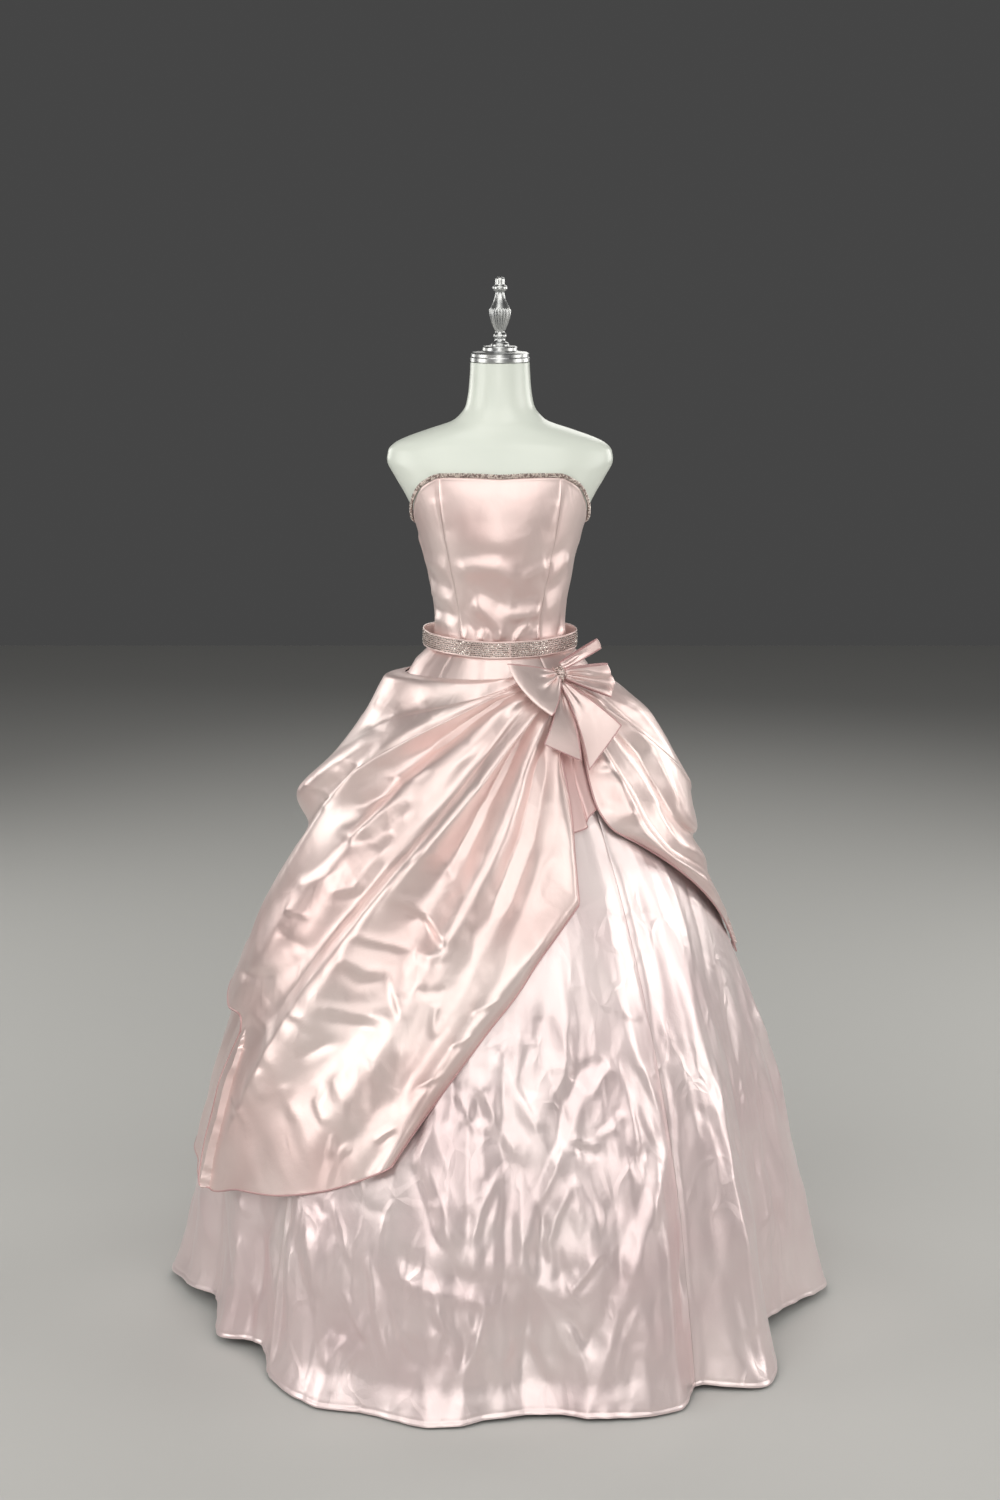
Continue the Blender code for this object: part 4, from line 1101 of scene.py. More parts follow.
backCreases = creaseRows({  # angles and heights
    "ridge": (
        (4, 11, 133, 0.98, 134, 0.8, 128, 0.6),
        (4.2, 11, 160, 1.02, 159, 0.86, 163, 0.66, 161, 0.4),
        (4.4, 11, 184, 1.03, 186, 0.84, 183, 0.62, 188, 0.36),
        (3.8, 11, 241, 0.9, 243, 0.7, 240, 0.5), (3.4, 10, 268, 0.66, 270, 0.5, 267, 0.34),
        (2.6, 8, 150, 0.5, 160, 0.45, 172, 0.48), (3, 9, 118, 0.72, 121, 0.62, 118, 0.54)),
    "hollow": (
        (4.4, 12, 145, 1, 147, 0.82, 143, 0.58, 146, 0.42),
        (4, 12, 172, 0.98, 174, 0.78, 170, 0.56), (4, 12, 198, 1, 196, 0.8, 201, 0.6),
        (4, 12, 226, 0.96, 223, 0.78, 228, 0.56, 225, 0.34),
        (3.6, 11, 255, 0.76, 253, 0.58, 257, 0.38), (3, 8, 166, 0.62, 180, 0.55, 192, 0.58),
        (2.8, 8, 212, 0.5, 226, 0.45, 238, 0.47), (2.4, 8, 108, 0.7, 110, 0.62, 107, 0.58)),
    "pinch": (
        (4.4, 11, 210, 1.02, 213, 0.86, 209, 0.64, 214, 0.36),
        (2.8, 8, 140, 0.74, 152, 0.68, 164, 0.71), (2.8, 8, 196, 0.72, 206, 0.66, 220, 0.69),
        (2.6, 8, 232, 0.6, 244, 0.55, 254, 0.58), (2.6, 8, 176, 0.9, 186, 0.85, 196, 0.88)),
})


def backShare(height):
    return np.clip((backSizes["top"] - height) / (backSizes["top"] - backSizes["full"]), 0, 1)


def backLiftCreased(angle, height):
    x, y = onCone(angle % 360 - 190, height)
    soft = backSizes["crumple"] * crumpled(x, y, 31)
    return creaseLift(angle, height, backCreases) + soft * ease(0, 0.12, 1.08 - height)


def backRadius(angle, height, creased):
    share = backShare(height)
    lift = backSizes["liftTop"] * (1 - share) + backLift(angle % 360) * share
    clear = smoothUnderskirt(angle, height)
    if creased:
        lift = lift + backLiftCreased(angle, height) * ease(0.02, 0.25, share)
        clear = clear + np.maximum(underskirtLift(angle, height), 0)
    return np.maximum(flareRadius(angle, height) + lift, clear + skirtSizes["apart"])


def pipedEdge(name, line, radius):
    # a thin covered cord along an edge, as a tube of eight sides
    ahead = unitOf(np.gradient(line, axis=0))
    side = unitOf(np.cross(ahead, unitOf(line * (1, 1, 0))))[:, None]
    out = np.cross(side[:, 0], ahead)[:, None]
    turn = np.radians(fullTurn(8))[None, :, None]
    rings = line[:, None] + radius * (np.cos(turn) * out + np.sin(turn) * side)
    cord = addPiece(name, rings.transpose(1, 0, 2), tubeFaces(8, len(line)), cordSatin)
    return cord


def makeBack():
    angle = evenly(backFirst, backLast, backSizes["columns"])[:, None]
    low = backHem(angle)
    share = evenly(0, 1, backSizes["rows"])[None, :] ** 0.96
    height = low + (backSizes["top"] - low) * share
    radius = backRadius(angle + 0 * share, height, True) + hemShape(height - low)
    points = around(angle, radius, height)
    piece = clothPiece("overskirtBack", points, gownSatin, skirtSizes["shell"], lean=True)
    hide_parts("overskirt_back")
    cord = pipedEdge("overskirtBackPiping", points[::2, 0] + (0, 0, -1.0 * mm), 1.5 * mm)
    print("back panel made")


makeBack()


# the gathered drapes; a fold is its name, then near, middle, far and end as
# (angle, height in mm, lift in mm), with each path smooth on the unrolled cone

stations = (0.0, 0.2, 0.45, 0.72, 1.0)
drapeSizes = {
    "gather": ((35, 1128, 4), (37, 1082, 10)),
    "folds": (
        ("tucked top", (0, 1112, 4), (-45, 1109, 5), (-95, 1103, 6), (-142, 1100, 4)),
        ("top roll", (-8, 1106, 12), (-45, 1102, 27), (-96, 1090, 37), (-145, 1070, 6)),
        ("upper hollow", (-9, 1090, 10), (-48, 1062, 18), (-92, 1030, 34), (-146, 1000, 8)),
        ("puff rim", (-10, 1086, 14), (-52, 1045, 34), (-90, 970, 44), (-144, 930, 8)),
        ("puff crest", (-12, 1078, 18), (-52, 1015, 46), (-92, 897, 72), (-140, 850, 10)),
        ("puff foot", (-13, 1072, 18), (-52, 985, 44), (-86, 842, 24), (-134, 775, 8)),
        ("edge turn", (-12, 1074, 21), (-54, 970, 50), (-82, 806, 34), (-120, 690, 20)),
        ("outer fold", (-12, 1075, 24), (-56, 955, 56), (-76, 760, 46), (-99, 580, 38)),
        ("pocket", (-6, 1070, 9), (-38, 975, 14), (-61, 800, 38), (-89, 560, 43)),
        ("inner fold", (1, 1068, 24), (-34, 945, 38), (-56, 770, 48), (-79, 547, 42)),
        ("long hollow", (6, 1056, 14), (-26, 885, 24), (-49, 700, 28), (-71, 538, 28)),
        ("pale edge", (8, 1052, 18), (-25, 875, 34), (-48, 660, 30), (-73, 440, 14)),
        ("long fold", (11, 1043, 30), (-22, 862, 50), (-49, 560, 34), (-70, 268, 12)),
        ("main hollow", (12, 1035, 8), (-15, 840, 8), (-31, 600, 14), (-57, 290, 9)),
        ("second fold", (16, 1023, 22), (-7, 820, 28), (-24, 575, 24), (-46, 308, 9)),
        ("second hollow", (20, 1008, 7), (3, 815, 8), (-16, 575, 12), (-36, 333, 8)),
        ("front fold", (25, 1000, 20), (14, 825, 22), (-8, 600, 22), (-28, 361, 9)),
        ("front edge", (27, 1000, 12), (22, 782, 12), (-3, 598, 11), (-21, 392, 8))),
    "across": 321,
    "along": 231,
    "crumple": 0.18,  # its share of the underskirt's crumple
    "lean": -20,
    "seed": 51,
    "piping": 1.6 * mm,
    "flat": (1.05, 1.15),
    "area": 0.82,
    # the front edge turns under: a full roll that falls off slowly inward and fast at the edge
    "roll": {"high": 11 * mm, "in": 11 * mm, "edge": 9 * mm, "wide": 26 * mm},
}
swagSizes = {
    "gather": ((43, 1126, 4), (41, 1084, 10)),
    "folds": (
        ("tucked top", (60, 1112, 5), (85, 1107, 6), (115, 1103, 6), (142, 1100, 4)),
        ("top roll", (62, 1100, 10), (88, 1072, 40), (115, 1068, 34), (146, 1060, 6)),
        ("shoulder", (64, 1088, 14), (90, 1022, 60), (118, 1000, 46), (147, 975, 8)),
        ("side puff", (64, 1078, 16), (89, 925, 60), (116, 880, 44), (145, 845, 10)),
        ("side ridge", (59, 1072, 21), (73, 985, 48), (84, 850, 36), (130, 780, 10)),
        ("side hollow", (56, 1070, 12), (67, 972, 20), (76, 850, 18), (123, 735, 8)),
        ("middle ridge", (52, 1062, 22), (59, 955, 34), (70, 830, 26), (117, 700, 12)),
        ("middle hollow", (48, 1052, 12), (53, 945, 20), (64, 825, 16), (110, 665, 8)),
        ("lower ridge", (44, 1042, 24), (46, 930, 32), (57, 830, 26), (103, 632, 10)),
        ("lower edge", (39, 1020, 8), (37, 905, 10), (53, 838, 10), (96, 604, 8))),
    "across": 191,
    "along": 151,
    "crumple": 0.1,
    "lean": 30,
    "seed": 71,
    "piping": 1.6 * mm,
    "flat": (0.55, 0.75),
    "area": 0.28,
}
flounceSizes = {
    "gather": ((32, 1056, 3), (40, 1056, 3)),
    "folds": (
        ("hidden edge", (28, 1020, 2), (22, 965, 2), (19, 920, 2), (17, 878, 2)),
        ("first pleat", (32, 1018, 4), (30, 965, 6), (29, 925, 8), (29, 889, 10)),
        ("first hollow", (34, 1016, 3), (31, 965, 3), (31, 928, 3), (31, 896, 3)),
        ("second pleat", (36, 1016, 4), (33, 970, 5), (33, 935, 6), (33, 908, 8)),
        ("under the swag", (41, 1016, 3), (43, 980, 2), (44, 950, 2), (45, 930, 2))),
    "across": 61,
    "along": 71,
    "crumple": 0.1,
    "lean": 0,
    "seed": 91,
    "piping": 1.3 * mm,
    "flat": (0.14, 0.20),
    "area": 0.018,
}
drapeSeen = creaseRows({  # points in the photograph's frame
    "roll": (
        (6.9, 15, 512, 690, 441, 712, 396, 740, 360, 764, 343, 793, 333, 820),
        (5.3, 10, 331, 834, 350, 832, 368, 824, 389, 806, 412, 788),
        (5.1, 15, 504, 714, 454, 764, 420, 814, 386, 862, 344, 916),
        (5.3, 14, 543, 715, 521, 783, 507, 840, 482, 883, 457, 926, 421, 983),
        (5.8, 14, 557, 762, 543, 854, 521, 911, 500, 961, 476, 1000),
        (5.3, 15, 567, 896, 538, 945, 494, 992, 459, 1040, 424, 1096, 390, 1150)),
    "hollow": (
        (11, 15, 517, 693, 491, 712, 459, 733, 430, 748, 398, 768),
        (5.3, 14, 328, 850, 362, 842, 394, 822, 424, 796),
        (5.1, 17, 345, 836, 318, 872, 294, 912, 258, 966),
        (9, 14, 521, 710, 480, 752, 446, 797, 416, 830, 368, 888, 314, 952, 256, 1040),
        (10, 16, 537, 716, 510, 762, 486, 806, 469, 850, 462, 908, 446, 950),
        (11, 21, 551, 730, 540, 800, 522, 860, 502, 912, 478, 962),
        (3, 8, 408, 912, 426, 928, 446, 956), (2.6, 8, 340, 966, 360, 981, 384, 983),
        (2.6, 9, 314, 1016, 340, 1024, 380, 1032),
        (2.8, 7, 412, 989, 425, 992, 437, 993, 453, 990),
        (2.6, 7, 296, 1061, 310, 1051, 325, 1044, 338, 1048),
        (2.8, 8, 268, 930, 286, 942, 306, 952), (2.6, 7, 366, 848, 376, 838, 388, 829),
        (3, 8, 354, 812, 372, 800, 392, 790), (2.6, 8, 360, 720, 378, 729, 400, 731),
        (2.8, 8, 306, 800, 330, 784, 352, 770), (2.8, 8, 236, 966, 256, 976, 280, 972),
        (2.6, 9, 362, 1046, 370, 1080, 368, 1130), (2.4, 8, 470, 920, 474, 950, 470, 985),
        (2.2, 8, 552, 800, 550, 830, 545, 860), (2.4, 7, 404, 850, 420, 862, 432, 880)),
    "pinch": (
        (9.8, 27, 532, 706, 494, 747, 459, 795, 432, 824, 387, 881, 332, 945, 273, 1040,
         240, 1104, 208, 1178),
        (4.6, 9, 398, 890, 415, 903, 432, 919, 453, 950), (3.4, 8, 350, 930, 382, 943, 415, 952),
        (3.6, 8, 386, 964, 394, 992, 403, 1023), (2.4, 7, 438, 1000, 435, 1018, 432, 1042),
        (2.8, 8, 288, 1007, 302, 1018, 318, 1034), (2.2, 7, 311, 1096, 318, 1110, 326, 1126),
        (2.8, 7, 280, 906, 293, 913, 310, 917), (3.6, 9, 319, 893, 351, 888, 372, 864, 391, 837),
        (2.2, 6, 408, 777, 418, 771, 430, 763), (2, 5, 469, 1012, 484, 1005, 504, 996),
        (2, 5, 448, 1045, 461, 1039, 478, 1031), (2, 5, 412, 1088, 428, 1080, 446, 1070),
        (1.8, 5, 373, 1142, 385, 1134, 400, 1125), (3, 8, 300, 780, 318, 792, 330, 812),
        (2.6, 8, 222, 1096, 240, 1110, 250, 1140), (2.8, 8, 428, 846, 444, 862, 452, 884),
        (2.2, 7, 478, 770, 486, 790, 486, 816)),
    "ridge": (
        (3, 7, 411, 953, 430, 954, 453, 950), (3.4, 8, 338, 953, 352, 963, 367, 970, 392, 970),
        (3.4, 8, 311, 1004, 330, 1010, 351, 1013, 400, 1022),
        (2.6, 7, 259, 1065, 258, 1080, 260, 1090, 268, 1104),
        (2.4, 7, 282, 1081, 287, 1100, 294, 1124), (2.8, 8, 291, 885, 318, 876, 346, 868),
        (3.6, 8, 350, 800, 362, 795, 374, 787, 388, 776, 414, 783),
        (2.8, 8, 518, 746, 526, 787, 516, 815, 519, 856),
        (3, 8, 476, 860, 464, 895, 452, 931, 448, 953), (2.6, 7, 373, 697, 384, 705, 399, 714),
        (2.2, 7, 420, 700, 434, 716, 440, 735), (2.4, 7, 340, 752, 352, 762, 372, 768),
        (2.8, 8, 246, 1010, 262, 1026, 272, 1048), (2.6, 8, 330, 1070, 344, 1100, 350, 1140),
        (2.4, 8, 404, 1040, 398, 1070, 388, 1110), (2.6, 8, 540, 850, 534, 880, 520, 915)),
})
drapeBehind = creaseRows({  # angles and heights
    "ridge": (
        (3.4, 9, -96, 1.03, -108, 0.99, -122, 1), (3, 8, -100, 0.88, -106, 0.82, -110, 0.75),
        (2.6, 8, -92, 0.64, -94, 0.6, -96, 0.56)),
    "hollow": (
        (3.8, 10, -98, 0.94, -112, 0.9, -128, 0.91), (2.6, 8, -104, 1.06, -116, 1.045, -130, 1.05)),
    "pinch": (
        (3.4, 9, -96, 0.84, -108, 0.82, -122, 0.8), (3, 8, -92, 0.74, -100, 0.69, -106, 0.66)),
})
swagSeen = creaseRows({  # points in the photograph's frame
    "roll": (
        (7, 14, 594, 744, 624, 793, 646, 831, 677, 860),),
    "ridge": (
        (4.4, 6, 579, 688, 611, 706, 633, 724, 652, 750),
        (3.4, 7, 600, 690, 640, 712, 668, 744, 688, 782), (6, 9, 612, 770, 620, 800, 632, 826),
        (2.4, 7, 630, 706, 642, 722, 656, 734), (2.6, 7, 700, 862, 708, 880, 720, 900)),
    "hollow": (
        (8, 13, 584, 702, 612, 730, 637, 770, 662, 814), (3.4, 6, 592, 694, 628, 716, 652, 736),
        (2.6, 8, 640, 742, 652, 764, 664, 790), (7, 9, 604, 760, 610, 788, 617, 816),
        (3, 8, 660, 800, 676, 826, 690, 852), (2.4, 7, 600, 700, 616, 716, 632, 734)),
    "pinch": (
        (3.6, 7, 652, 752, 664, 774, 678, 795, 684, 812), (1.8, 5, 706, 886, 716, 894, 724, 902),
        (1.8, 5, 712, 896, 720, 906, 729, 916)),
})
swagBehind = creaseRows({  # angles and heights
    "hollow": (
        (3.2, 9, 92, 1.04, 104, 1.02, 120, 1.03), (3.4, 9, 92, 0.88, 104, 0.86, 118, 0.86),
        (3, 8, 90, 0.74, 98, 0.71, 108, 0.7)),
    "pinch": (
        (3.6, 9, 94, 0.97, 108, 0.94, 126, 0.95), (3, 8, 96, 0.8, 106, 0.78, 120, 0.77),
        (2.6, 8, 88, 0.7, 94, 0.67, 100, 0.66)),
    "ridge": (
        (2.8, 8, 98, 0.92, 102, 0.85, 108, 0.79),),
})


def underDrape(angle, height, creased):
    # the face that a drape must stay clear of: the back panel where it hangs, else the underskirt
    turned = angle % 360
    inside = (turned > backFirst - backSizes["edge"]) & (turned < backLast + backSizes["edge"])
    inside &= height > backHem(turned) - backSizes["hemClear"]
    held = np.where(inside, np.clip(turned, backFirst, backLast), 190)
    back = backRadius(held, height, creased) + backSizes["standOff"] * backShare(height)
    under = smoothUnderskirt(angle, height)
    if creased:
        under = under + np.maximum(underskirtLift(angle, height), 0)
    return np.where(inside, back, under)


def drapeGrid(sizes, corner):
    # the angle, height and lift of every point of a gathered drape; with corner its last fold runs
    # straight where it turns the front corner
    folds, count = sizes["folds"], len(sizes["folds"])
    begin, end = np.array(sizes["gather"])
    share = np.arange(count)[:, None] / (count - 1)
    start = begin * (1 - share) + end * share
    marks = np.array([[start[i], *fold[1:]] for i, fold in enumerate(folds)], float)
    places = np.stack(onCone(marks[..., 0], marks[..., 1] * mm), -1)
    along = evenly(0, 1, sizes["along"])
    across = evenly(0, count - 1, sizes["across"])
    paths = runThrough(stations, places.transpose(1, 0, 2).reshape(5, -1), along, passing=True)
    paths = paths.reshape(len(along), count, 2)
    if corner:
        straight = np.stack([np.interp(along, stations, places[-1, :, k]) for k in (0, 1)], -1)
        weight = ease(0.22, 0.38, along) * (1 - ease(0.56, 0.70, along))
        paths[:, -1] += (straight - paths[:, -1]) * weight[:, None]
    flat = runThrough(np.arange(count), paths.transpose(1, 0, 2).reshape(count, -1), across,
                      passing=True).reshape(len(across), len(along), 2)
    lifts = runThrough(stations, marks[..., 2].T * mm, along)
    lift = runThrough(np.arange(count), lifts.T, across)
    height = coneApex - np.hypot(flat[..., 0], flat[..., 1]) * math.cos(coneHalf)
    angle = np.degrees(np.arctan2(flat[..., 0], flat[..., 1]) / math.sin(coneHalf))
    return flat, angle, height, lift, across[:, None], along[None, :]


def seenOnCloth(rows, points, flat):
    # places creases by where each point of the photograph's frame first meets the cloth
    away = points - np.array(shot["place"])
    ahead, rise = away @ shotAhead, away @ shotUpward
    across = shot["middle"][0] + shot["focal"] * away[..., 0] / ahead
    down = shot["middle"][1] - shot["focal"] * rise / ahead
    placed = []
    for marks, *crease in rows:
        line = []
        for px, py in marks:
            miss = np.hypot(across - px, down - py)
            score = np.where(miss < max(4.0, miss.min() + 1), ahead + miss * 2 * mm, 99)
            line.append(tuple(flat[np.unravel_index(np.argmin(score), score.shape)]))
        placed.append((np.array(line), *crease))
    return placed


def flatCreases(flat, placed):
    total = np.zeros(flat.shape[:2])
    for ends, *crease in placed:
        ends = ends[np.append(True, np.hypot(*np.diff(ends, axis=0).T) > 1 * mm)]
        if len(ends) > 1:
            pressCrease(total, flat, ends, crease, sharpScale)
    return total


def turnedEdge(flat, roll):
    # the front edge turns under: how high its roll stands, by the way in from the edge
    steps = np.hypot(*np.diff(flat, axis=0).transpose(2, 0, 1))
    off = np.concatenate((np.cumsum(steps[::-1], 0)[::-1], 0 * steps[:1])) - roll["in"]
    return roll["high"] * np.exp(-(off / np.where(off < 0, roll["edge"], roll["wide"])) ** 2)


def makeDrape(name, node, sizes, seen, behind, finish=gownSatin):
    flat, angle, height, lift, across, along = drapeGrid(sizes, "roll" in sizes)
    flare = flareRadius(angle, height)
    under = underDrape(angle, height, False) + skirtSizes["apart"]
    placed = seenOnCloth(seen, around(angle, np.maximum(flare + lift, under), height), flat)
    placed += [(np.array([onCone(a, h) for a, h in marks]), *crease) for marks, *crease in behind]
    crease = flatCreases(flat, placed)
    # small uneven gathers just below the seam
    gathers = 1.2 * mm * np.sin(across * 2 * math.pi * 1.1 + 1.8 * np.sin(across * 1.7))
    crease += gathers * ease(0.02, 0.06, along) * (1 - ease(0.06, 0.22, along))
    soft = crumpled(flat[..., 0], flat[..., 1], sizes["seed"], sizes["lean"])
    crease += sizes["crumple"] * soft * ease(0.08, 0.3, along)
    # the cloth lies calm along its far end and its front edge
    toEnd, toEdge = (1 - along) * 1.2, (len(sizes["folds"]) - 1 - across) * 0.05
    crease = crease * ease(-3 * mm, 9 * mm, toEnd) * ease(-4 * mm, 20 * mm, toEdge)
    if "roll" in sizes:
        crease += turnedEdge(flat, sizes["roll"]) * ease(0.2, 0.4, along)
    under = underDrape(angle, height, True) + skirtSizes["apart"]
    points = around(angle, np.maximum(flare + lift + crease, under), height)
    piece = clothPiece(name, points, finish, skirtSizes["shell"], lean=True)
    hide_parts(node)
    return piece, points


def sheetOf(name, sizes, hem):
    # pipes the hem
    cord = pipedEdge(name + "Piping", hem + (0, 0, -0.8 * mm), sizes["piping"])


def layDrapes():
    drape, points = makeDrape("overskirtDrape", "overskirt_drape_right", drapeSizes, drapeSeen,
                              drapeBehind)
    hem = np.concatenate((points[-1, 30::2], points[-2:110:-2, -1]))
    sheetOf("overskirtDrape", drapeSizes, hem)
    swag, points = makeDrape("overskirtSwag", "overskirt_swag_left", swagSizes, swagSeen,
                             swagBehind)
    sheetOf("overskirtSwag", swagSizes, points[-1, 20::2])
    # the flounce takes the satin painted a deeper rose, as painted shade for the pocket it hangs in
    flounce, points = makeDrape("overskirtFlounce", "overskirt_flounce", flounceSizes, (), (),
                                flounceShadeSatin)
    sheetOf("overskirtFlounce", flounceSizes, points[::2, -1])
    print("drapes laid")


layDrapes()


# the bow: ribbon loops and tails with corded edges, gathered into a beaded knot

bowSizes = {
    "angle": 40,
    "radius": 0.151,
    "height": 1.117,
    "knot": (8.5 * mm, 10.0 * mm, 13.5 * mm),
    "ribbon": 1.12 * mm,
    "tailRoot": 12 * mm,
    "pinch": 7 * mm,
    "lean": 10 * mm,
    "edgeCord": 1.0 * mm,
    "beadRows": (-80, 80, 10),
    "beadPitch": 2.5 * mm,
    "beadRing": 9 * mm,
    "loopGrid": (61, 97),
    "tailGrid": (49, 73),
    "bead": 1.3 * mm,
    "loopShare": 0.72,  # what the pleats and the gather leave of the flat ribbon
    "tailShare": 0.62,
    "loops": (  # name, root, upper corner, lower corner, bulge, opening, then each pleat's place
                # across, depth in mm, width and how far out it runs
        ("right", (-0.0100, 0.0040, 0.001), (0.0130, -0.1520, 1.1400), (0.0825, -0.1840, 1.0620),
         0.012, 0.011, ((0.34, 4.5, 0.07, 0.85), (0.62, 3.6, 0.06, 0.6), (0.85, 1.8, 0.05, 0.4))),
        ("left", (0.0092, 0.0040, 0.000), (0.1760, -0.0800, 1.1290), (0.1820, -0.0930, 1.0760),
         0.006, 0.011, ((0.42, 8.0, 0.09, 1.3), (0.20, 3.4, 0.06, 0.8), (0.70, 4.4, 0.06, 0.8))),
        ("upper", (0.0050, -0.0010, 0.0132), (0.1600, -0.0560, 1.1660), (0.1670, -0.0500, 1.1500),
         0.002, 0.004, ((0.5, 1.6, 0.16, 0.8),))),
    "tails": (  # name, root, long corner, short corner
        ("front", (0.0010, 0.0062, -0.0115), (0.1440, -0.2300, 0.9820), (0.1950, -0.1810, 1.0450)),
        ("back", (-0.0010, -0.0012, -0.0142), (0.0720, -0.2120, 1.0200),
         (0.1300, -0.2180, 0.9950))),
}
bowOut = around(bowSizes["angle"], 1.0, 0.0)
bowAlong = around(bowSizes["angle"] + 90, 1.0, 0.0)


def fromKnot(root):
    centre = around(bowSizes["angle"], bowSizes["radius"], bowSizes["height"])
    return centre + bowAlong * root[0] + bowOut * root[1] + np.array((0, 0, root[2]))


def shareGrid(across, along):
    return evenly(0, 1, across)[:, None], evenly(0, 1, along)[None, :]


def ribbonPiece(name, node, points):
    thick = bowSizes["ribbon"]
    piece = clothPiece(name, points + gridNormals(points, False) * thick / 2, gownSatin, thick)
    cords = [pipedEdge(name + "Cord" + edge, line, bowSizes["edgeCord"])
             for edge, line in (("A", points[0]), ("B", points[-1]))]
    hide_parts(node)
    return piece, cords


def makeBow():
    for name, root, upper, lower, bulge, opening, pleats in bowSizes["loops"]:
        start = fromKnot(root)
        upper, lower = np.array(upper), np.array(lower)
        end, half = (upper + lower) / 2, (upper - lower) / 2
        pinch = bowSizes["pinch"] / np.linalg.norm(half)
        across, along = shareGrid(*bowSizes["loopGrid"])
        turn = math.pi * along
        reach, side = np.sin(turn), across * 2 - 1
        spread = pinch + (1 - pinch) * reach ** 0.8
        middle = start + (end - start) * (reach + 0 * across)[..., None]
        middle = middle + unitOf(end - start) * (bulge * (1 - side * side) * reach)[..., None]
        deep = 0 * across * along
        for spot, down, wide, far in pleats:
            run = 1 - ease(0.25 * far, far, reach) if far < 1.2 else 1 - 0.4 * reach
            near = (across - spot) / (wide * (1 + 1.2 * reach))
            pleat = bumpOf(near, 0, 1) - 0.4 * bumpOf(np.abs(near), 2, 1)
            deep = deep - down * mm * pleat * run
        deep = deep * ease(0, 0.12, reach)
        depth = opening * np.cos(turn) * (0.25 + 0.75 * reach) + deep * np.sign(np.cos(turn))
        points = middle + half * (side * spread)[..., None] + bowOut * depth[..., None]
        piece, cords = ribbonPiece("bowLoop" + name.capitalize(), "bow_loop_" + name, points)
        wide = 2 * float(np.linalg.norm(half))
    for name, root, longCorner, shortCorner in bowSizes["tails"]:
        start, longCorner, shortCorner = fromKnot(root), np.array(longCorner), np.array(shortCorner)
        across, along = (share[..., None] for share in shareGrid(*bowSizes["tailGrid"]))
        top = start + bowAlong * bowSizes["tailRoot"] * (across - 0.5)
        foot = longCorner * (1 - across) + shortCorner * across
        wave = 1.8 * mm * np.cos(across * 2 * math.pi * 2.2 + 0.6)
        wave = wave * (1 - ease(0.1, 0.5, along)) * ease(0, 0.1, along)
        soft = 1.2 * mm * np.sin(along * 5 + across * 3) * along
        points = top * (1 - along) + foot * along
        points = points + bowOut * (bowSizes["lean"] * np.sin(math.pi * along) + wave + soft)
        piece, cords = ribbonPiece("bowTail" + name.capitalize(), "bow_tail_" + name, points)
        cords.append(pipedEdge("bowTail" + name.capitalize() + "Hem", points[:, -1],
                               bowSizes["edgeCord"]))
        wide = float(np.linalg.norm(longCorner - shortCorner))


def makeKnot():
    unit, faces = ballUnit(40, 28)
    half = np.array(bowSizes["knot"]) - 1.0 * mm
    axes = np.stack((bowAlong, bowOut, np.array((0, 0, 1.0))), 1)
    core = addPiece("bowKnotCore", (unit * half) @ axes.T + fromKnot((0, 0, 0)), faces, ribbonSatin)
    places = []
    for row, lift in enumerate(np.radians(evenly(*bowSizes["beadRows"]))):
        ring = math.cos(lift)
        count = max(int(2 * math.pi * ring * bowSizes["beadRing"] / bowSizes["beadPitch"]), 4)
        for turn in 2 * math.pi * (np.arange(count) + 0.5 * (row % 2)) / count:
            places.append((ring * math.cos(turn), ring * math.sin(turn), math.sin(lift)))
    spots = np.array(places) * (half + 0.2 * mm)
    size = np.repeat(np.eye(3)[None] * bowSizes["bead"], len(spots), 0)
    beads = manyOf("bowKnotBeads", *ballUnit(10, 6), spots @ axes.T + fromKnot((0, 0, 0)), size,
                   cordBeads)
    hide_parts("bow_knot")
    print("bow tied")


makeBow()
makeKnot()
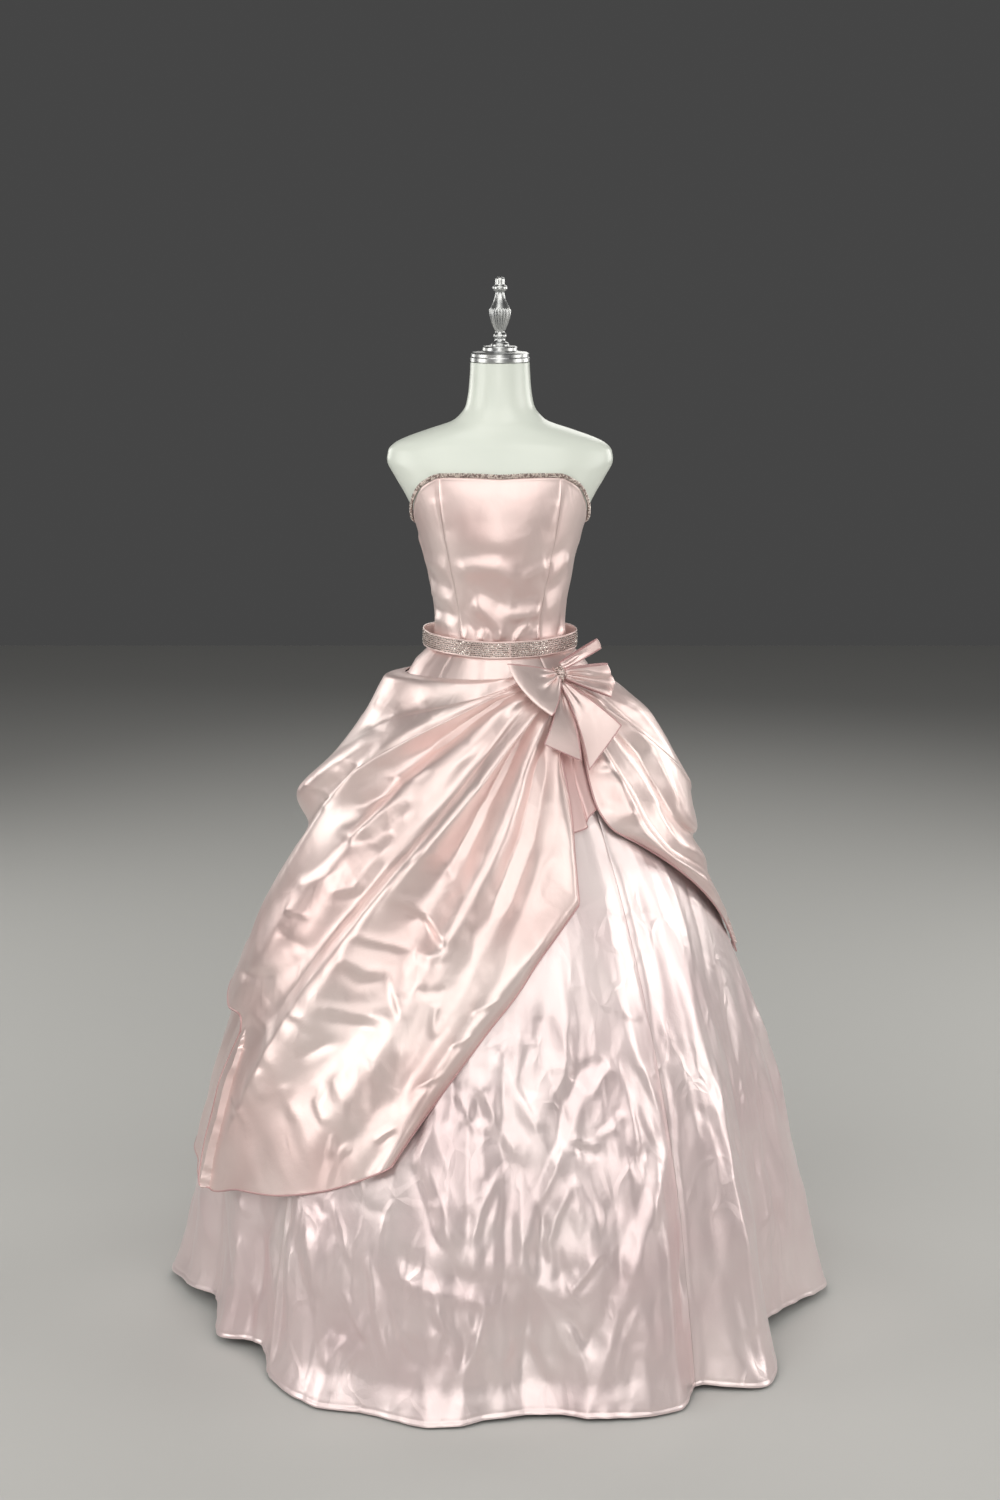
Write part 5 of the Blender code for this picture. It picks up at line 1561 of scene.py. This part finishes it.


# the floor, the studio's lights and the faint glow of the air round them

studio = {
    "floor": 14.0,
    "lamps": {  # round soft boxes: where each stands, what it points at, its width and its watts
        "key": ((-1.9, -3.9, 3.6), (0, 0, 0.7), 3.8, 68),
        "front": ((1.5, -4.2, 3.4), (0, 0, 0.65), 3.2, 62),
        "top": ((-0.3, -1.0, 4.7), (0, 0, 0.6), 2.6, 36),
        "low": ((-0.4, -5.6, 1.3), (0, 0, 1.3), 2.0, 32),
        "left": ((-3.9, -1.2, 1.75), (0, 0, 0.5), 2.6, 50),
        "right": ((3.9, -1.0, 1.75), (0, 0, 0.5), 2.6, 46),
        "rimLeft": ((-2.7, 2.4, 1.9), (0, 0, 0.6), 1.8, 24),
        "rimRight": ((3.0, 1.8, 1.8), (0, 0, 0.6), 1.8, 30),
        "behind": ((0.6, 3.8, 3.2), (0, 0, 0.8), 2.6, 30),
    },
    "lampTint": (1.0, 0.985, 0.945),
    "air": 0.06,
}


def makeStudio():
    paper = newFinish("seamlessPaperPaleGrey", Base_Color=fromHex("C4C4C2"), Roughness=0.85)[0]
    half = studio["floor"] / 2
    mesh = bpy.data.meshes.new("studioFloor")
    mesh.from_pydata([(-half, -half, 0), (half, -half, 0), (half, half, 0), (-half, half, 0)], [],
                     [(0, 1, 2, 3)])
    mesh.materials.append(paper)
    floor = bpy.data.objects.new("studioFloor", mesh)
    bpy.context.scene.collection.objects.link(floor)
    for name, (place, aim, size, power) in studio["lamps"].items():
        light = bpy.data.lights.new(name, "AREA")
        light.shape, light.size, light.energy = "DISK", size, power
        light.color = studio["lampTint"]
        lamp = bpy.data.objects.new(name, light)
        bpy.context.scene.collection.objects.link(lamp)
        lamp.location = place
        lamp.visible_camera = False
        x, y, z = np.subtract(aim, place)
        lamp.rotation_euler = (math.atan2(math.hypot(x, y), -z), 0, math.atan2(y, x) - math.pi / 2)
    air = bpy.data.worlds.new("studioAir")
    bpy.context.scene.world = air
    air.use_nodes = True
    glow = air.node_tree.nodes["Background"]
    glow.inputs["Color"].default_value = (1.0, 1.0, 1.0, 1)
    glow.inputs["Strength"].default_value = studio["air"]
    bpy.context.scene.view_settings.view_transform = "Standard"
    print("studio lit")


makeStudio()
